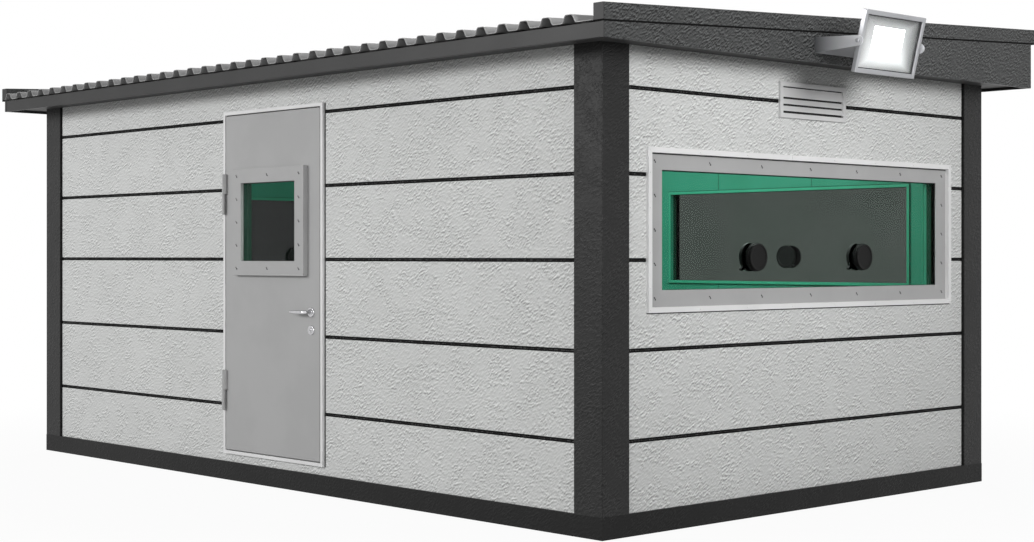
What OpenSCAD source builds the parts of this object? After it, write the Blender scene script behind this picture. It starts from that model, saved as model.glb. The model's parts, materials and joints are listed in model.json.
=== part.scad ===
// Security guard booth: a sandwich-panel cabin with a mono-pitch sheet roof,
// fixed windows with round talk-through ports, a steel door and a floodlight.
// The door side faces -Y, the window end faces +X, and Z = 0 is the ground.
// Depths on a wall are counted inwards from the outer face of the corner posts.

/* [Cabin] */
// Length over the corner posts, along X
cabin_l = 5310; // [4600:10:6400]
// Width over the corner posts, along Y
cabin_w = 3280; // [3000:10:4000]
// Height of the base band
base_h = 110; // [80:5:180]
// Height of the wall over the door frame
door_head_h = 152; // [100:1:500]
// Height of the floor's surface above the base band
floor_rise = 40; // [20:1:46]
// Width of a corner post on each of its two faces
post_w = 188; // [120:1:220]
// Thickness of the corner posts' plate
post_t = 30; // [24:1:36]
// Depth of the cladding's face behind the posts
clad_recess = 15; // [8:1:20]
// Thickness of the insulated wall core
core_t = 75; // [70:1:120]
// Thickness of the inner lining
lining_t = 10; // [6:1:15]

/* [Cladding courses] */
// Height of the highest course, from the top joint to the walls' top
head_course_h = 204; // [150:1:260]
// Height of each of the two courses below it
top_course_h = 416; // [380:1:450]
// Height of each of the two middle courses, over the lowest one that is cut to fit
mid_course_h = 436; // [400:1:460]
// Height of a joint strip
strip_h = 19; // [10:1:30]
// Depth of a strip's face behind the cladding's face
strip_recess = 3; // [1:0.5:6]

/* [Roof] */
// Overhang of the fascia past the corner posts
overhang = 205; // [120:5:300]
// Thickness of the fascia boards
board_t = 20; // [12:1:30]
// Height of the fascia at the low eave
low_fascia_h = 74; // [66:1:110]
// Drop of the fascia's lower edge below the soffit
fascia_drop = 17; // [5:1:24]
// Rise of the roof from the low eave to the high eave
roof_rise = 188; // [120:1:320]
// Thickness of the ceiling and soffit deck
deck_t = 40; // [24:1:48]
// Height of the verge and high-edge caps
cap_h = 87; // [70:1:120]
// Width of the caps
cap_w = 65; // [40:1:90]
// How far the rear verge cap stands past the rear fascia
rear_cap_proud = 40; // [0:1:44]
// How far the caps stand past the high fascia
high_cap_proud = 45; // [0:1:60]

/* [Roof sheet] */
// Spacing of the sheet's ribs
rib_pitch = 151; // [130:1:220]
// Height of a rib
rib_h = 38; // [20:1:50]
// Width of a rib at its foot
rib_foot_w = 85; // [70:1:100]
// Width of a rib at its top
rib_top_w = 44; // [25:1:60]
// Upright thickness of the sheet
sheet_t = 3; // [2:0.5:5]
// Gap between the fascia's top and the sheet
sheet_lift = 8; // [4:1:20]
// Overhang of the sheet past the low fascia
sheet_drip = 10; // [0:1:30]
// Distance from the front verge cap to the first rib's middle
first_rib = 147; // [140:1:190]
// Number of ribs from one rafter to the next
ribs_per_rafter = 7; // [4:1:10]
// Width of a rafter
rafter_w = 40; // [30:1:60]

/* [Windows] */
// Cladding left between a corner post and a window's angle frame
window_margin = 138; // [40:1:300]
// Width of the pane's opening in the back wall
back_window_w = 1910; // [1400:10:2600]
// Height of every opening
window_h = 590; // [400:5:700]
// Distance from the walls' top down to every opening's head
window_drop = 594; // [500:1:800]
// Side width of the clamping flange
flange_side_w = 97; // [60:1:120]
// Top and bottom width of the clamping flange
flange_top_w = 82; // [60:1:110]
// Thickness of the clamping flange
flange_t = 6; // [4:1:10]
// Face width of the outer angle frame
angle_w = 27; // [18:1:34]
// Thickness of the armoured glass
glass_t = 36; // [20:1:50]
// Overlap of the glass behind its flange, and thickness of the lining's returns that it rests on
glass_lap = 30; // [15:1:40]

/* [Ports] */
// Diameter of a port's cap and of its inner flange
port_d = 148; // [110:1:180]
// Diameter of the neck through the glass
port_neck_d = 100; // [60:1:104]
// Distance of a pair's ports from the window's middle
port_offset = 464; // [200:1:700]
// Height of a port's middle above the opening's sill
port_rise = 162; // [110:1:300]
// Depth of the cap's face behind the corner posts
port_cap_depth = 2; // [-10:1:8]
// Thickness of the inner flange
port_flange_t = 18; // [10:1:20]
// Width of the raised rim around the cap's face
port_rim_w = 10; // [6:1:16]
// Depth of the cap's steps and of its groove
port_step = 3; // [2:0.5:4]
// Length of the catch beside the inner flange
catch_l = 27; // [20:1:34]
// Height of the catch
catch_h = 16; // [10:1:20]

/* [Vent] */
// Width of the vent grille
vent_w = 575; // [400:1:700]
// Height of the vent grille
vent_h = 191; // [150:1:220]
// Distance from the walls' top down to the grille's middle
vent_drop = 194; // [150:1:240]
// Border of the grille
vent_border = 25; // [15:1:30]
// Thickness of the grille
vent_t = 14; // [8:1:20]
// Number of slots in the grille
vent_slots = 4; // [3:1:6]
// Height of the louvre blades
blade_h = 14; // [8:1:18]

/* [Door] */
// Width of the door frame
door_w = 980; // [900:5:1100]
// Height of the door frame
door_h = 2052; // [1950:1:2080]
// Height of the cladding strip between base band and door frame
door_strip_h = 48; // [47:1:80]
// Face width of the door frame
frame_face = 20; // [14:1:30]
// How far the door frame stands out past the corner posts
frame_proud = 3; // [0:0.5:6]
// Width of the frame's stop behind the leaf
stop_w = 15; // [10:1:25]
// Thickness of the leaf
leaf_t = 50; // [40:1:56]
// Gap at the hinge edge of the leaf
hinge_gap = 5; // [5:0.5:8]
// Gap at the lock edge of the leaf
lock_gap = 8; // [7:0.5:12]
// Gap over, under and behind the leaf
leaf_gap = 6; // [5:0.5:10]

/* [Door window] */
// Width of the box frame on the door
door_light_w = 700; // [560:1:740]
// Height of the box frame on the door
door_light_h = 630; // [500:1:700]
// Distance from the door frame's head down to the box frame's top
door_light_drop = 349; // [200:1:400]
// Border of the box frame
door_light_border = 85; // [60:1:100]
// Thickness of the box frame
door_light_t = 32; // [20:1:40]
// Depth of the glass behind the box frame's face
door_glass_depth = 22; // [12:1:26]
// Overlap of the door's glass behind its frame
door_glass_lap = 20; // [10:1:30]

/* [Hinges and lock] */
// Diameter of a hinge barrel
barrel_d = 21; // [18:1:24]
// Height of one knuckle
knuckle_h = 120; // [80:1:140]
// Diameter of a hinge pin
hinge_pin_d = 12; // [8:1:13]
// Middle of the lower hinge above the base band
low_hinge = 431; // [300:1:600]
// Distance from the door frame's head down to the upper hinge's middle
hinge_drop = 494; // [300:1:700]
// Gap between a hinge barrel and the leaf's face
barrel_gap = 4; // [3:0.5:6]
// Distance of the hinge axis outside the leaf's edge
hinge_inset = 2; // [0:0.5:3]
// Width of a hinge wing from the axis
wing_w = 19; // [16:1:22]
// Height of the pin that is left out of the upper knuckle
pin_short = 10; // [6:1:20]
// Height of the lever's axis above the base band
lever_level = 917; // [850:1:1000]
// Distance of the lever's axis from the leaf's lock edge
backset = 76; // [60:1:90]
// Length of the lever from its axis
lever_l = 139; // [110:1:150]
// Diameter of the lever's neck
lever_neck_d = 18; // [14:1:20]
// Diameter of the lever's grip
lever_grip_d = 16; // [12:1:17]
// Diameter of the round elbow between neck and grip
lever_elbow_d = 22; // [20:1:26]
// Length of the grip's tapered tip
lever_tip_l = 4; // [2:1:6]
// Distance of the grips' middle from the leaf's faces
lever_stand = 49; // [40:1:50]
// Diameter of the round roses
rose_d = 56; // [50:1:62]
// Thickness of the roses
rose_t = 9; // [6:1:12]
// Distance from the lever's axis down to the key rose
key_drop = 102; // [85:1:115]

/* [Floodlight] */
// Width of the lamp's bezel
lamp_w = 525; // [420:1:620]
// Height of the lamp's bezel
lamp_h = 322; // [260:1:360]
// Border of the bezel
bezel_border = 24; // [20:1:40]
// Depth of the bezel
bezel_t = 24; // [22:1:40]
// Depth of the housing behind the bezel's face
housing_t = 102; // [80:1:125]
// Wall of the housing at its mouth, and of its back
housing_wall = 10; // [6:1:16]
// Narrowing of the housing on each side, from mouth to back
housing_taper = 75; // [40:1:90]
// Part of the bezel in front of the pivots
bezel_nose = 9; // [8:1:16]
// Overlap of the lamp's glass behind the bezel
lens_lap = 10; // [6:1:14]
// Thickness of the bezel's lip over the glass
bezel_lip_t = 10; // [6:1:12]
// Thickness of the lamp's glass
lamp_glass_t = 5; // [4:0.5:8]
// Downward tilt of the lamp at rest
lamp_tilt = 14; // [0:1:20]
// Distance of the pivot from the fascia
pivot_reach = 272; // [235:1:320]
// Height of the bracket's middle above the fascia's lower edge
bracket_level = 89; // [70:1:110]
// Height of the bracket's plate
bracket_h = 81; // [60:1:90]
// Thickness of the bracket's steel
bracket_t = 6; // [4:1:10]
// Radius of the arms' round ends
arm_end_r = 26; // [18:1:30]
// Diameter of the pivot pins
pivot_d = 14; // [10:1:20]
// Diameter of the pivot pins' heads
pivot_head_d = 28; // [22:1:36]
// Thickness of the pivot pins' heads
pivot_head_t = 12; // [8:1:16]

/* [Clearances] */
// Gap between parts that only rest near each other
seat_gap = 0.3; // [0.1:0.1:0.5]
// Gap around a turning pin
pin_gap = 0.1; // [0.05:0.01:0.2]
// Gap between a moving part and what it passes
run_gap = 5; // [5:0.5:8]
// Gap between the roof sheet and the caps
sheet_gap = 1; // [0.5:0.5:3]
// Gap between the bracket's arms and the pivot pins' heads
head_gap = 2; // [1:0.5:4]
// Overrun of a cut past the face that it opens
over = 1; // [0.5:0.5:2]

/* [Hidden] */
$fn = 64;

// Walls: a turn about Z and the distance of the post plane from the middle
door_side = [0, cabin_w / 2];
front_end = [90, cabin_l / 2];
back_side = [180, cabin_w / 2];
rear_end = [270, cabin_l / 2];

core_depth = post_t;
lining_depth = core_depth + core_t;
room_depth = lining_depth + lining_t;
long_core_w = cabin_l - 2 * core_depth;
end_core_w = cabin_w - 2 * lining_depth;
room_l = cabin_l - 2 * lining_depth;
room_w = cabin_w - 2 * lining_depth;
door_head = door_strip_h + door_h;
wall_h = door_head + door_head_h;
wall_top = base_h + wall_h;

// Joints' middles above the base band, as many as the walls take
top_joint = wall_h - head_course_h;
mid_joint = top_joint - 2 * top_course_h;
course_joints = [
  mid_joint - 2 * mid_course_h, mid_joint - mid_course_h, mid_joint, mid_joint + top_course_h, top_joint
];
joints = [for (z = course_joints) if (z > strip_h) z];
course_feet = concat([0], [for (z = joints) z + strip_h / 2]);
course_heads = concat([for (z = joints) z - strip_h / 2], [wall_h]);

eave_x = cabin_l / 2 + overhang;
eave_y = cabin_w / 2 + overhang;
fascia_foot = wall_top - fascia_drop;
deck_top = wall_top + deck_t;
roof_slope = roof_rise / (2 * eave_y);
roof_pitch = atan(roof_slope);
front_cap_x = eave_x - cap_w;
rear_cap_x = -eave_x - rear_cap_proud + cap_w;
high_cap_y = eave_y + high_cap_proud - cap_w;
sheet_x0 = rear_cap_x + sheet_gap;
sheet_x1 = front_cap_x - sheet_gap;
rafter_end_y = min(high_cap_y, eave_y - board_t);
sheet_end_y = rafter_end_y - sheet_gap;
sheet_l = (sheet_end_y + eave_y) / cos(roof_pitch);
ribs = floor((sheet_x1 - sheet_x0 - first_rib - rib_foot_w / 2) / rib_pitch) + 1;

window_rim_w = flange_side_w + angle_w;
end_window_w = cabin_w - 2 * (post_w + window_margin + window_rim_w);
back_window_x = cabin_l / 2 - post_w - window_margin - window_rim_w - back_window_w / 2;
window_sill = wall_h - window_drop - window_h;
window_mid = window_sill + window_h / 2;
vent_level = wall_h - vent_drop;
angle_h = window_h + 2 * (flange_top_w + angle_w);
inner_glass_depth = core_depth + glass_t;

door_mid = door_strip_h + door_h / 2;
leaf_x0 = -door_w / 2 + frame_face + hinge_gap;
leaf_x1 = door_w / 2 - frame_face - lock_gap;
leaf_foot = door_strip_h + frame_face + leaf_gap;
leaf_h = door_h - 2 * (frame_face + leaf_gap);
stop_depth = leaf_t + leaf_gap;
door_light_mid = door_head - door_light_drop - door_light_h / 2;
door_glass_w = door_light_w - 2 * door_light_border + 2 * door_glass_lap;
door_glass_h = door_light_h - 2 * door_light_border + 2 * door_glass_lap;
door_glass_front = door_glass_depth - door_light_t;
door_glass_back = door_glass_front + glass_t;

hinges = [low_hinge, door_head - hinge_drop];
hinge_x = leaf_x0 - hinge_inset;
hinge_depth = -barrel_d / 2 - barrel_gap;
wing_root = barrel_d / 10;
lever_x = leaf_x1 - backset;

bracket_z = fascia_foot + bracket_level;
pivot_x = eave_x + pivot_reach;
arm_y = lamp_w / 2 + run_gap;
bezel_back = bezel_nose - bezel_t;
lens_front = bezel_nose - bezel_lip_t;
lens_back = lens_front - lamp_glass_t;
lens_w = lamp_w - 2 * (bezel_border - lens_lap);
lens_h = lamp_h - 2 * (bezel_border - lens_lap);
housing_back = bezel_nose - housing_t;

// Level of the roof line, along the fascia's upper edge, at a place across the cabin
function roof_z(y) = fascia_foot + low_fascia_h + (y + eave_y) * roof_slope;

// Level of the underside of the roof sheet's pans
function sheet_z(y) = roof_z(y) + sheet_lift / cos(roof_pitch);

// Middle of a rib, counted from the front verge cap
function rib_x(i) = sheet_x1 - first_rib - i * rib_pitch;

// One side of the corrugated outline, raised by z
function rib_line(z) = concat(
  [[sheet_x0, z]],
  [for (i = [ribs - 1 : -1 : 0]) each [
    [rib_x(i) - rib_foot_w / 2, z],
    [rib_x(i) - rib_top_w / 2, z + rib_h],
    [rib_x(i) + rib_top_w / 2, z + rib_h],
    [rib_x(i) + rib_foot_w / 2, z]
  ]],
  [[sheet_x1, z]]
);

function reversed(points) = [for (i = [len(points) - 1 : -1 : 0]) points[i]];

// Puts a wall's own frame in place: X along the wall, Y inwards, Z from the base band up
module on_wall(wall) {
  rotate([0, 0, wall[0]]) translate([0, -wall[1], base_h]) children();
}

// A plate in a wall's frame, w by h about [0, mid], from one depth to another
module plate(w, h, mid, depth, end) {
  translate([-w / 2, depth, mid - h / 2]) cube([w, end - depth, h]);
}

// A plate with a rectangular opening at its middle
module ring(w, h, open_w, open_h, mid, depth, end) {
  difference() {
    plate(w, h, mid, depth, end);
    plate(open_w, open_h, mid, depth - over, end + over);
  }
}

// A round bar along a wall's depth
module depth_bar(d, depth, end) {
  translate([0, depth, 0]) rotate([-90, 0, 0]) cylinder(d = d, h = end - depth);
}

// An outline of [y, z] points carried along X
module along_x(x0, x1, outline) {
  translate([x0, 0, 0]) rotate([90, 0, 90]) linear_extrude(x1 - x0) polygon(outline);
}

// An outline of [x, z] points carried along Y
module along_y(y0, y1, outline) {
  translate([0, y1, 0]) rotate([90, 0, 0]) linear_extrude(y1 - y0) polygon(outline);
}

// A board under the roof line, from the fascia's lower edge up
module fascia_board(x0, x1, y0, y1) {
  along_x(x0, x1, [[y0, fascia_foot], [y1, fascia_foot], [y1, roof_z(y1)], [y0, roof_z(y0)]]);
}

// A cap that lies on the roof line
module cap_bar(x0, x1, y0, y1) {
  foot0 = roof_z(y0) + seat_gap;
  foot1 = roof_z(y1) + seat_gap;
  along_x(x0, x1, [[y0, foot0], [y1, foot1], [y1, foot1 + cap_h], [y0, foot0 + cap_h]]);
}

// The cabin's underframe and floor

module base_frame() {
  color("#333333") difference() {
    translate([-cabin_l / 2, -cabin_w / 2, 0]) cube([cabin_l, cabin_w, base_h]);
    translate([-room_l / 2, -room_w / 2, -over]) cube([room_l, room_w, base_h + 2 * over]);
  }
}

module floor() {
  color("#77736c") translate([-room_l / 2, -room_w / 2, 0]) cube([room_l, room_w, base_h + floor_rise]);
}

// An angle-section cover on the corner at the given signs of X and Y
module corner_post(sx, sy) {
  color("#3a3a3a") translate([sx * cabin_l / 2, sy * cabin_w / 2, base_h]) linear_extrude(wall_h)
    polygon([
      [0, 0], [-sx * post_w, 0], [-sx * post_w, -sy * post_t],
      [-sx * post_t, -sy * post_t], [-sx * post_t, -sy * post_w], [0, -sy * post_w]
    ]);
}

// Walls

// The hole in a wall's core, for the glass and for the lining's returns behind it
module window_hole(w) {
  plate(w + 2 * glass_lap, window_h + 2 * glass_lap, window_mid, core_depth - over, lining_depth + over);
}

module wall_core(wall, core_w, window_w, window_x) {
  color("#2b2b2b") on_wall(wall) difference() {
    plate(core_w, wall_h, wall_h / 2, core_depth, lining_depth);
    translate([window_x, 0, 0]) window_hole(window_w);
  }
}

// The part of the door wall's core beside the doorway, on the given side
module door_wall_side(side) {
  side_w = (long_core_w - door_w) / 2;
  color("#2b2b2b") on_wall(door_side) translate([side * (door_w + side_w) / 2, 0, 0])
    plate(side_w, wall_h, wall_h / 2, core_depth, lining_depth);
}

module door_wall_head() {
  color("#2b2b2b") on_wall(door_side)
    plate(door_w, door_head_h, wall_h - door_head_h / 2, core_depth, lining_depth);
}

module door_wall_sill() {
  color("#2b2b2b") on_wall(door_side) plate(door_w, door_strip_h, door_strip_h / 2, core_depth, lining_depth);
}

// What the cladding leaves free: the window's angle frame, the door frame or the vent
module window_cut(w) {
  plate(w + 2 * window_rim_w, angle_h, window_mid, -over, core_depth + over);
}

module door_cut() {
  plate(door_w, door_h, door_mid, -over, room_depth + over);
}

module vent_cut() {
  plate(vent_w - 2 * vent_border, vent_h - 2 * vent_border, vent_level, -over, core_depth + over);
}

module wall_cuts(wall) {
  if (wall == door_side) door_cut();
  if (wall == front_end) {
    window_cut(end_window_w);
    vent_cut();
  }
  if (wall == rear_end) window_cut(end_window_w);
  if (wall == back_side) translate([-back_window_x, 0, 0]) window_cut(back_window_w);
}

function wall_w(wall) = wall[1] == cabin_w / 2 ? cabin_l : cabin_w;

module cladding(wall) {
  color("#c4c4c4") on_wall(wall) difference() {
    for (i = [0 : len(course_feet) - 1])
      plate(
        wall_w(wall) - 2 * post_w, course_heads[i] - course_feet[i],
        (course_heads[i] + course_feet[i]) / 2, clad_recess, core_depth
      );
    wall_cuts(wall);
  }
}

module joint_strips() {
  color("#202020") for (wall = [door_side, front_end, back_side, rear_end])
    on_wall(wall) difference() {
      for (z = joints)
        plate(wall_w(wall) - 2 * post_w, strip_h, z, clad_recess + strip_recess, core_depth);
      wall_cuts(wall);
    }
}

// One wall's lining above the floor, with returns into the window's reveal
module lining_sheet(lining_w, window_w, window_x) {
  difference() {
    union() {
      plate(lining_w, wall_h - floor_rise, (wall_h + floor_rise) / 2, lining_depth, room_depth);
      translate([window_x, 0, 0])
        plate(
          window_w + 2 * glass_lap, window_h + 2 * glass_lap, window_mid,
          inner_glass_depth, room_depth
        );
    }
    translate([window_x, 0, 0]) plate(window_w, window_h, window_mid, 0, room_depth + over);
  }
}

module wall_lining() {
  color("#438c71") union() {
    on_wall(door_side) difference() {
      plate(room_l, wall_h - floor_rise, (wall_h + floor_rise) / 2, lining_depth, room_depth);
      door_cut();
    }
    on_wall(front_end) lining_sheet(room_w, end_window_w, 0);
    on_wall(rear_end) lining_sheet(room_w, end_window_w, 0);
    on_wall(back_side) lining_sheet(room_l, back_window_w, -back_window_x);
  }
}

// Roof

module ceiling_deck() {
  color("#4a4a4a") translate([-eave_x + board_t, -eave_y + board_t, wall_top])
    cube([2 * (eave_x - board_t), 2 * (eave_y - board_t), deck_t]);
}

module low_fascia() {
  color("#484848") fascia_board(-eave_x + board_t, eave_x - board_t, -eave_y, -eave_y + board_t);
}

module high_fascia() {
  color("#484848") fascia_board(-eave_x + board_t, eave_x - board_t, eave_y - board_t, eave_y);
}

module front_fascia() {
  color("#484848") fascia_board(eave_x - board_t, eave_x, -eave_y, eave_y);
}

module rear_fascia() {
  color("#484848") fascia_board(-eave_x, -eave_x + board_t, -eave_y, eave_y);
}

module front_verge_cap() {
  color("#3e3e3e") cap_bar(front_cap_x, eave_x, -eave_y, eave_y + high_cap_proud);
}

module rear_verge_cap() {
  color("#3e3e3e") cap_bar(rear_cap_x - cap_w, rear_cap_x, -eave_y, eave_y + high_cap_proud);
}

module high_edge_cap() {
  color("#3e3e3e") cap_bar(rear_cap_x, front_cap_x, high_cap_y, eave_y + high_cap_proud);
}

// Wedge-shaped rafters stand on the deck under the pans and carry the sheet
module roof_rafters() {
  y0 = -eave_y + board_t;
  y1 = rafter_end_y;
  color("#8a8a86") for (i = [0 : ribs_per_rafter : ribs - 1]) {
    x = rib_x(i) + rib_pitch / 2;
    along_x(x - rafter_w / 2, x + rafter_w / 2, [
      [y0, deck_top], [y1, deck_top],
      [y1, sheet_z(y1) - seat_gap], [y0, sheet_z(y0) - seat_gap]
    ]);
  }
}

module roof_sheet() {
  color("#8e8e8e") translate([0, -eave_y, roof_z(-eave_y)]) rotate([roof_pitch, 0, 0])
    along_y(-sheet_drip, sheet_l, concat(
      rib_line(sheet_lift + sheet_t), reversed(rib_line(sheet_lift))
    ));
}

// Windows

module window_frame(w) {
  clear_w = w + 2 * flange_side_w;
  clear_h = window_h + 2 * flange_top_w;
  color("#e6e6e6") ring(clear_w + 2 * angle_w, angle_h, clear_w, clear_h, window_mid, 0, core_depth);
}

module window_flange(w) {
  clear_w = w + 2 * flange_side_w;
  clear_h = window_h + 2 * flange_top_w;
  color("#a8a8a8") ring(clear_w, clear_h, w, window_h, window_mid, core_depth - flange_t, core_depth);
}

module window_glass(w, ports) {
  bore = port_neck_d + 2 * seat_gap;
  color("#5c6461", 0.5) difference() {
    plate(w + 2 * glass_lap, window_h + 2 * glass_lap, window_mid, core_depth, inner_glass_depth);
    for (x = ports) translate([x, 0, window_sill + port_rise])
      depth_bar(bore, core_depth - over, inner_glass_depth + over);
  }
}

// A port turned about the depth axis: ribbed cap, neck, inner flange and a catch on the flange
module port() {
  r = port_d / 2;
  neck_r = port_neck_d / 2;
  face = port_cap_depth;
  flange_end = inner_glass_depth + port_flange_t;
  step = port_step;
  groove = (face + core_depth) / 2;
  rotate([-90, 0, 0]) rotate_extrude() polygon([
    [0, face + step], [r - port_rim_w - step, face + step], [r - port_rim_w, face], [r - step, face],
    [r, face + step], [r, groove - step], [r - step, groove - step],
    [r - step, groove + step], [r, groove + step], [r, core_depth],
    [neck_r, core_depth], [neck_r, inner_glass_depth],
    [r, inner_glass_depth], [r, flange_end], [0, flange_end]
  ]);
  rotate([0, -135, 0]) translate([r - step, inner_glass_depth, -catch_h / 2])
    cube([catch_l, port_flange_t, catch_h]);
}

module window_ports(ports) {
  color("#161616") for (x = ports) translate([x, 0, window_sill + port_rise]) port();
}

module vent_grille() {
  open_w = vent_w - 2 * vent_border;
  open_h = vent_h - 2 * vent_border;
  slot_h = (open_h - (vent_slots - 1) * blade_h) / vent_slots;
  color("#cfcfcf") on_wall(front_end) difference() {
    plate(vent_w, vent_h, vent_level, clad_recess - vent_t, clad_recess);
    for (i = [0 : vent_slots - 1])
      plate(
        open_w, slot_h, vent_level - open_h / 2 + slot_h / 2 + i * (slot_h + blade_h),
        clad_recess - vent_t - over, clad_recess + over
      );
  }
}

// Door

module door_frame() {
  clear_w = door_w - 2 * frame_face;
  clear_h = door_h - 2 * frame_face;
  color("#dcdcdc") on_wall(door_side) difference() {
    plate(door_w, door_h, door_mid, -frame_proud, room_depth);
    plate(clear_w, clear_h, door_mid, -frame_proud - over, stop_depth);
    plate(clear_w - 2 * stop_w, clear_h - 2 * stop_w, door_mid, stop_depth - over, room_depth + over);
  }
}

module door_leaf() {
  color("#a0a0a0") on_wall(door_side) difference() {
    translate([leaf_x0, 0, leaf_foot]) cube([leaf_x1 - leaf_x0, leaf_t, leaf_h]);
    plate(door_glass_w, door_glass_h, door_light_mid, -over, door_glass_back);
    plate(
      door_light_w - 2 * door_light_border, door_light_h - 2 * door_light_border,
      door_light_mid, door_glass_back - over, leaf_t + over
    );
    translate([lever_x, 0, lever_level]) depth_bar(lever_neck_d + 2 * run_gap, -over, leaf_t + over);
  }
}

module door_window_frame() {
  color("#a6a6a6") on_wall(door_side) difference() {
    plate(door_light_w, door_light_h, door_light_mid, -door_light_t, 0);
    plate(
      door_light_w - 2 * door_light_border, door_light_h - 2 * door_light_border,
      door_light_mid, -door_light_t - over, over
    );
    plate(door_glass_w, door_glass_h, door_light_mid, door_glass_front, over);
  }
}

module door_window_glass() {
  color("#5c6461", 0.5) on_wall(door_side)
    plate(door_glass_w, door_glass_h, door_light_mid, door_glass_front, door_glass_back);
}

// Lower knuckles with the pins, each on a wing that is welded to the door frame's face
module frame_hinges() {
  color("#b4b4b4") on_wall(door_side) for (z = hinges)
    translate([hinge_x, hinge_depth, z]) {
      translate([0, 0, -knuckle_h]) cylinder(d = barrel_d, h = knuckle_h);
      translate([-wing_w, -wing_root, -knuckle_h])
        cube([wing_w, -hinge_depth - frame_proud + wing_root, knuckle_h]);
      cylinder(d = hinge_pin_d, h = knuckle_h - pin_short);
    }
}

// Upper knuckles, bored for the pins, each on a wing that is welded to the leaf's face
module leaf_hinges() {
  color("#b4b4b4") on_wall(door_side) for (z = hinges)
    translate([hinge_x, hinge_depth, z + seat_gap]) difference() {
      union() {
        cylinder(d = barrel_d, h = knuckle_h);
        translate([0, -wing_root, 0]) cube([wing_w, -hinge_depth + wing_root, knuckle_h]);
      }
      translate([0, 0, -over]) cylinder(d = hinge_pin_d + 2 * pin_gap, h = knuckle_h - pin_short / 2);
    }
}

// Round roses on both faces of the leaf: one around the lever's neck, one over the key
module lock_roses() {
  color("#c8c8c8") on_wall(door_side) for (depth = [-rose_t, leaf_t]) {
    translate([lever_x, 0, lever_level]) difference() {
      depth_bar(rose_d, depth, depth + rose_t);
      depth_bar(lever_neck_d + 2 * pin_gap, depth - over, depth + rose_t + over);
    }
    translate([lever_x, 0, lever_level - key_drop]) depth_bar(rose_d, depth, depth + rose_t);
  }
}

// A neck through the leaf with a grip on each side, both towards the hinges
module lever_handle() {
  color("#d0d0d0") on_wall(door_side) translate([lever_x, 0, lever_level]) {
    depth_bar(lever_neck_d, -lever_stand, leaf_t + lever_stand);
    for (depth = [-lever_stand, leaf_t + lever_stand]) translate([0, depth, 0]) {
      sphere(d = lever_elbow_d);
      rotate([0, -90, 0]) {
        cylinder(d = lever_grip_d, h = lever_l - lever_tip_l);
        translate([0, 0, lever_l - lever_tip_l])
          cylinder(d1 = lever_grip_d, d2 = lever_grip_d - lever_tip_l, h = lever_tip_l);
      }
    }
  }
}

// Floodlight

// A plate on the fascia with two tapering arms that end in the pivots' eyes
module floodlight_bracket() {
  eye_d = pivot_d + 2 * pin_gap;
  color("#8c8c8c") translate([eave_x, 0, bracket_z]) {
    translate([0, -arm_y - bracket_t, -bracket_h / 2]) cube([bracket_t, 2 * (arm_y + bracket_t), bracket_h]);
    for (y0 = [-arm_y - bracket_t, arm_y]) difference() {
      union() {
        along_y(y0, y0 + bracket_t, [
          [0, -bracket_h / 2], [pivot_reach, -arm_end_r], [pivot_reach, arm_end_r], [0, bracket_h / 2]
        ]);
        translate([pivot_reach, 0, 0]) depth_bar(2 * arm_end_r, y0, y0 + bracket_t);
      }
      translate([pivot_reach, 0, 0]) depth_bar(eye_d, y0 - over, y0 + bracket_t + over);
    }
  }
}

// Puts the lamp's own frame in place: the origin on the pivots, X out of the lamp's face
module on_pivot() {
  translate([pivot_x, 0, bracket_z]) rotate([0, lamp_tilt, 0]) children();
}

// A box that tapers both ways along X, from w by h at x1 to the same less the taper at x0
module tapered_box(x0, x1, w, h, straight, taper) {
  shoulder = x1 - straight;
  intersection() {
    along_y(-w / 2, w / 2, [
      [x1, -h / 2], [x1, h / 2], [shoulder, h / 2],
      [x0, h / 2 - taper * h / w], [x0, -h / 2 + taper * h / w], [shoulder, -h / 2]
    ]);
    translate([0, 0, -h / 2]) linear_extrude(h) polygon([
      [x1, -w / 2], [x1, w / 2], [shoulder, w / 2],
      [x0, w / 2 - taper], [x0, -w / 2 + taper], [shoulder, -w / 2]
    ]);
  }
}

// The bezel's ring with a rebate for glass and housing, and the pivot pins with their heads
module floodlight_bezel() {
  open_w = lamp_w - 2 * bezel_border;
  open_h = lamp_h - 2 * bezel_border;
  pin_end = arm_y + bracket_t + head_gap + pivot_head_t;
  color("#c9c9c9") on_pivot() {
    difference() {
      translate([bezel_back, -lamp_w / 2, -lamp_h / 2]) cube([bezel_t, lamp_w, lamp_h]);
      translate([bezel_back - over, -open_w / 2, -open_h / 2]) cube([bezel_t + 2 * over, open_w, open_h]);
      translate([bezel_back - over, -lens_w / 2, -lens_h / 2])
        cube([lens_front - bezel_back + over, lens_w, lens_h]);
    }
    for (side = [-1, 1]) rotate([side * 90, 0, 0]) {
      translate([0, 0, -pin_end]) cylinder(d = pivot_d, h = pin_end - lamp_w / 2 + bezel_border / 2);
      translate([0, 0, -pin_end]) cylinder(d = pivot_head_d, h = pivot_head_t);
    }
  }
}

module floodlight_glass() {
  color("#e8eef0", 0.4) on_pivot() translate([lens_back, -lens_w / 2 + seat_gap, -lens_h / 2 + seat_gap])
    cube([lamp_glass_t, lens_w - 2 * seat_gap, lens_h - 2 * seat_gap]);
}

// A tapered die-cast shell, hollowed by the reflector's sloping sides
module floodlight_housing() {
  w = lens_w - 2 * seat_gap;
  h = lens_h - 2 * seat_gap;
  color("#9a9a9a") on_pivot() difference() {
    tapered_box(housing_back, lens_back, w, h, lens_back - bezel_back, housing_taper);
    tapered_box(
      housing_back + housing_wall, lens_back + over,
      w - 2 * housing_wall, h - 2 * housing_wall, over + seat_gap, housing_taper + housing_wall
    );
  }
}

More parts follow.
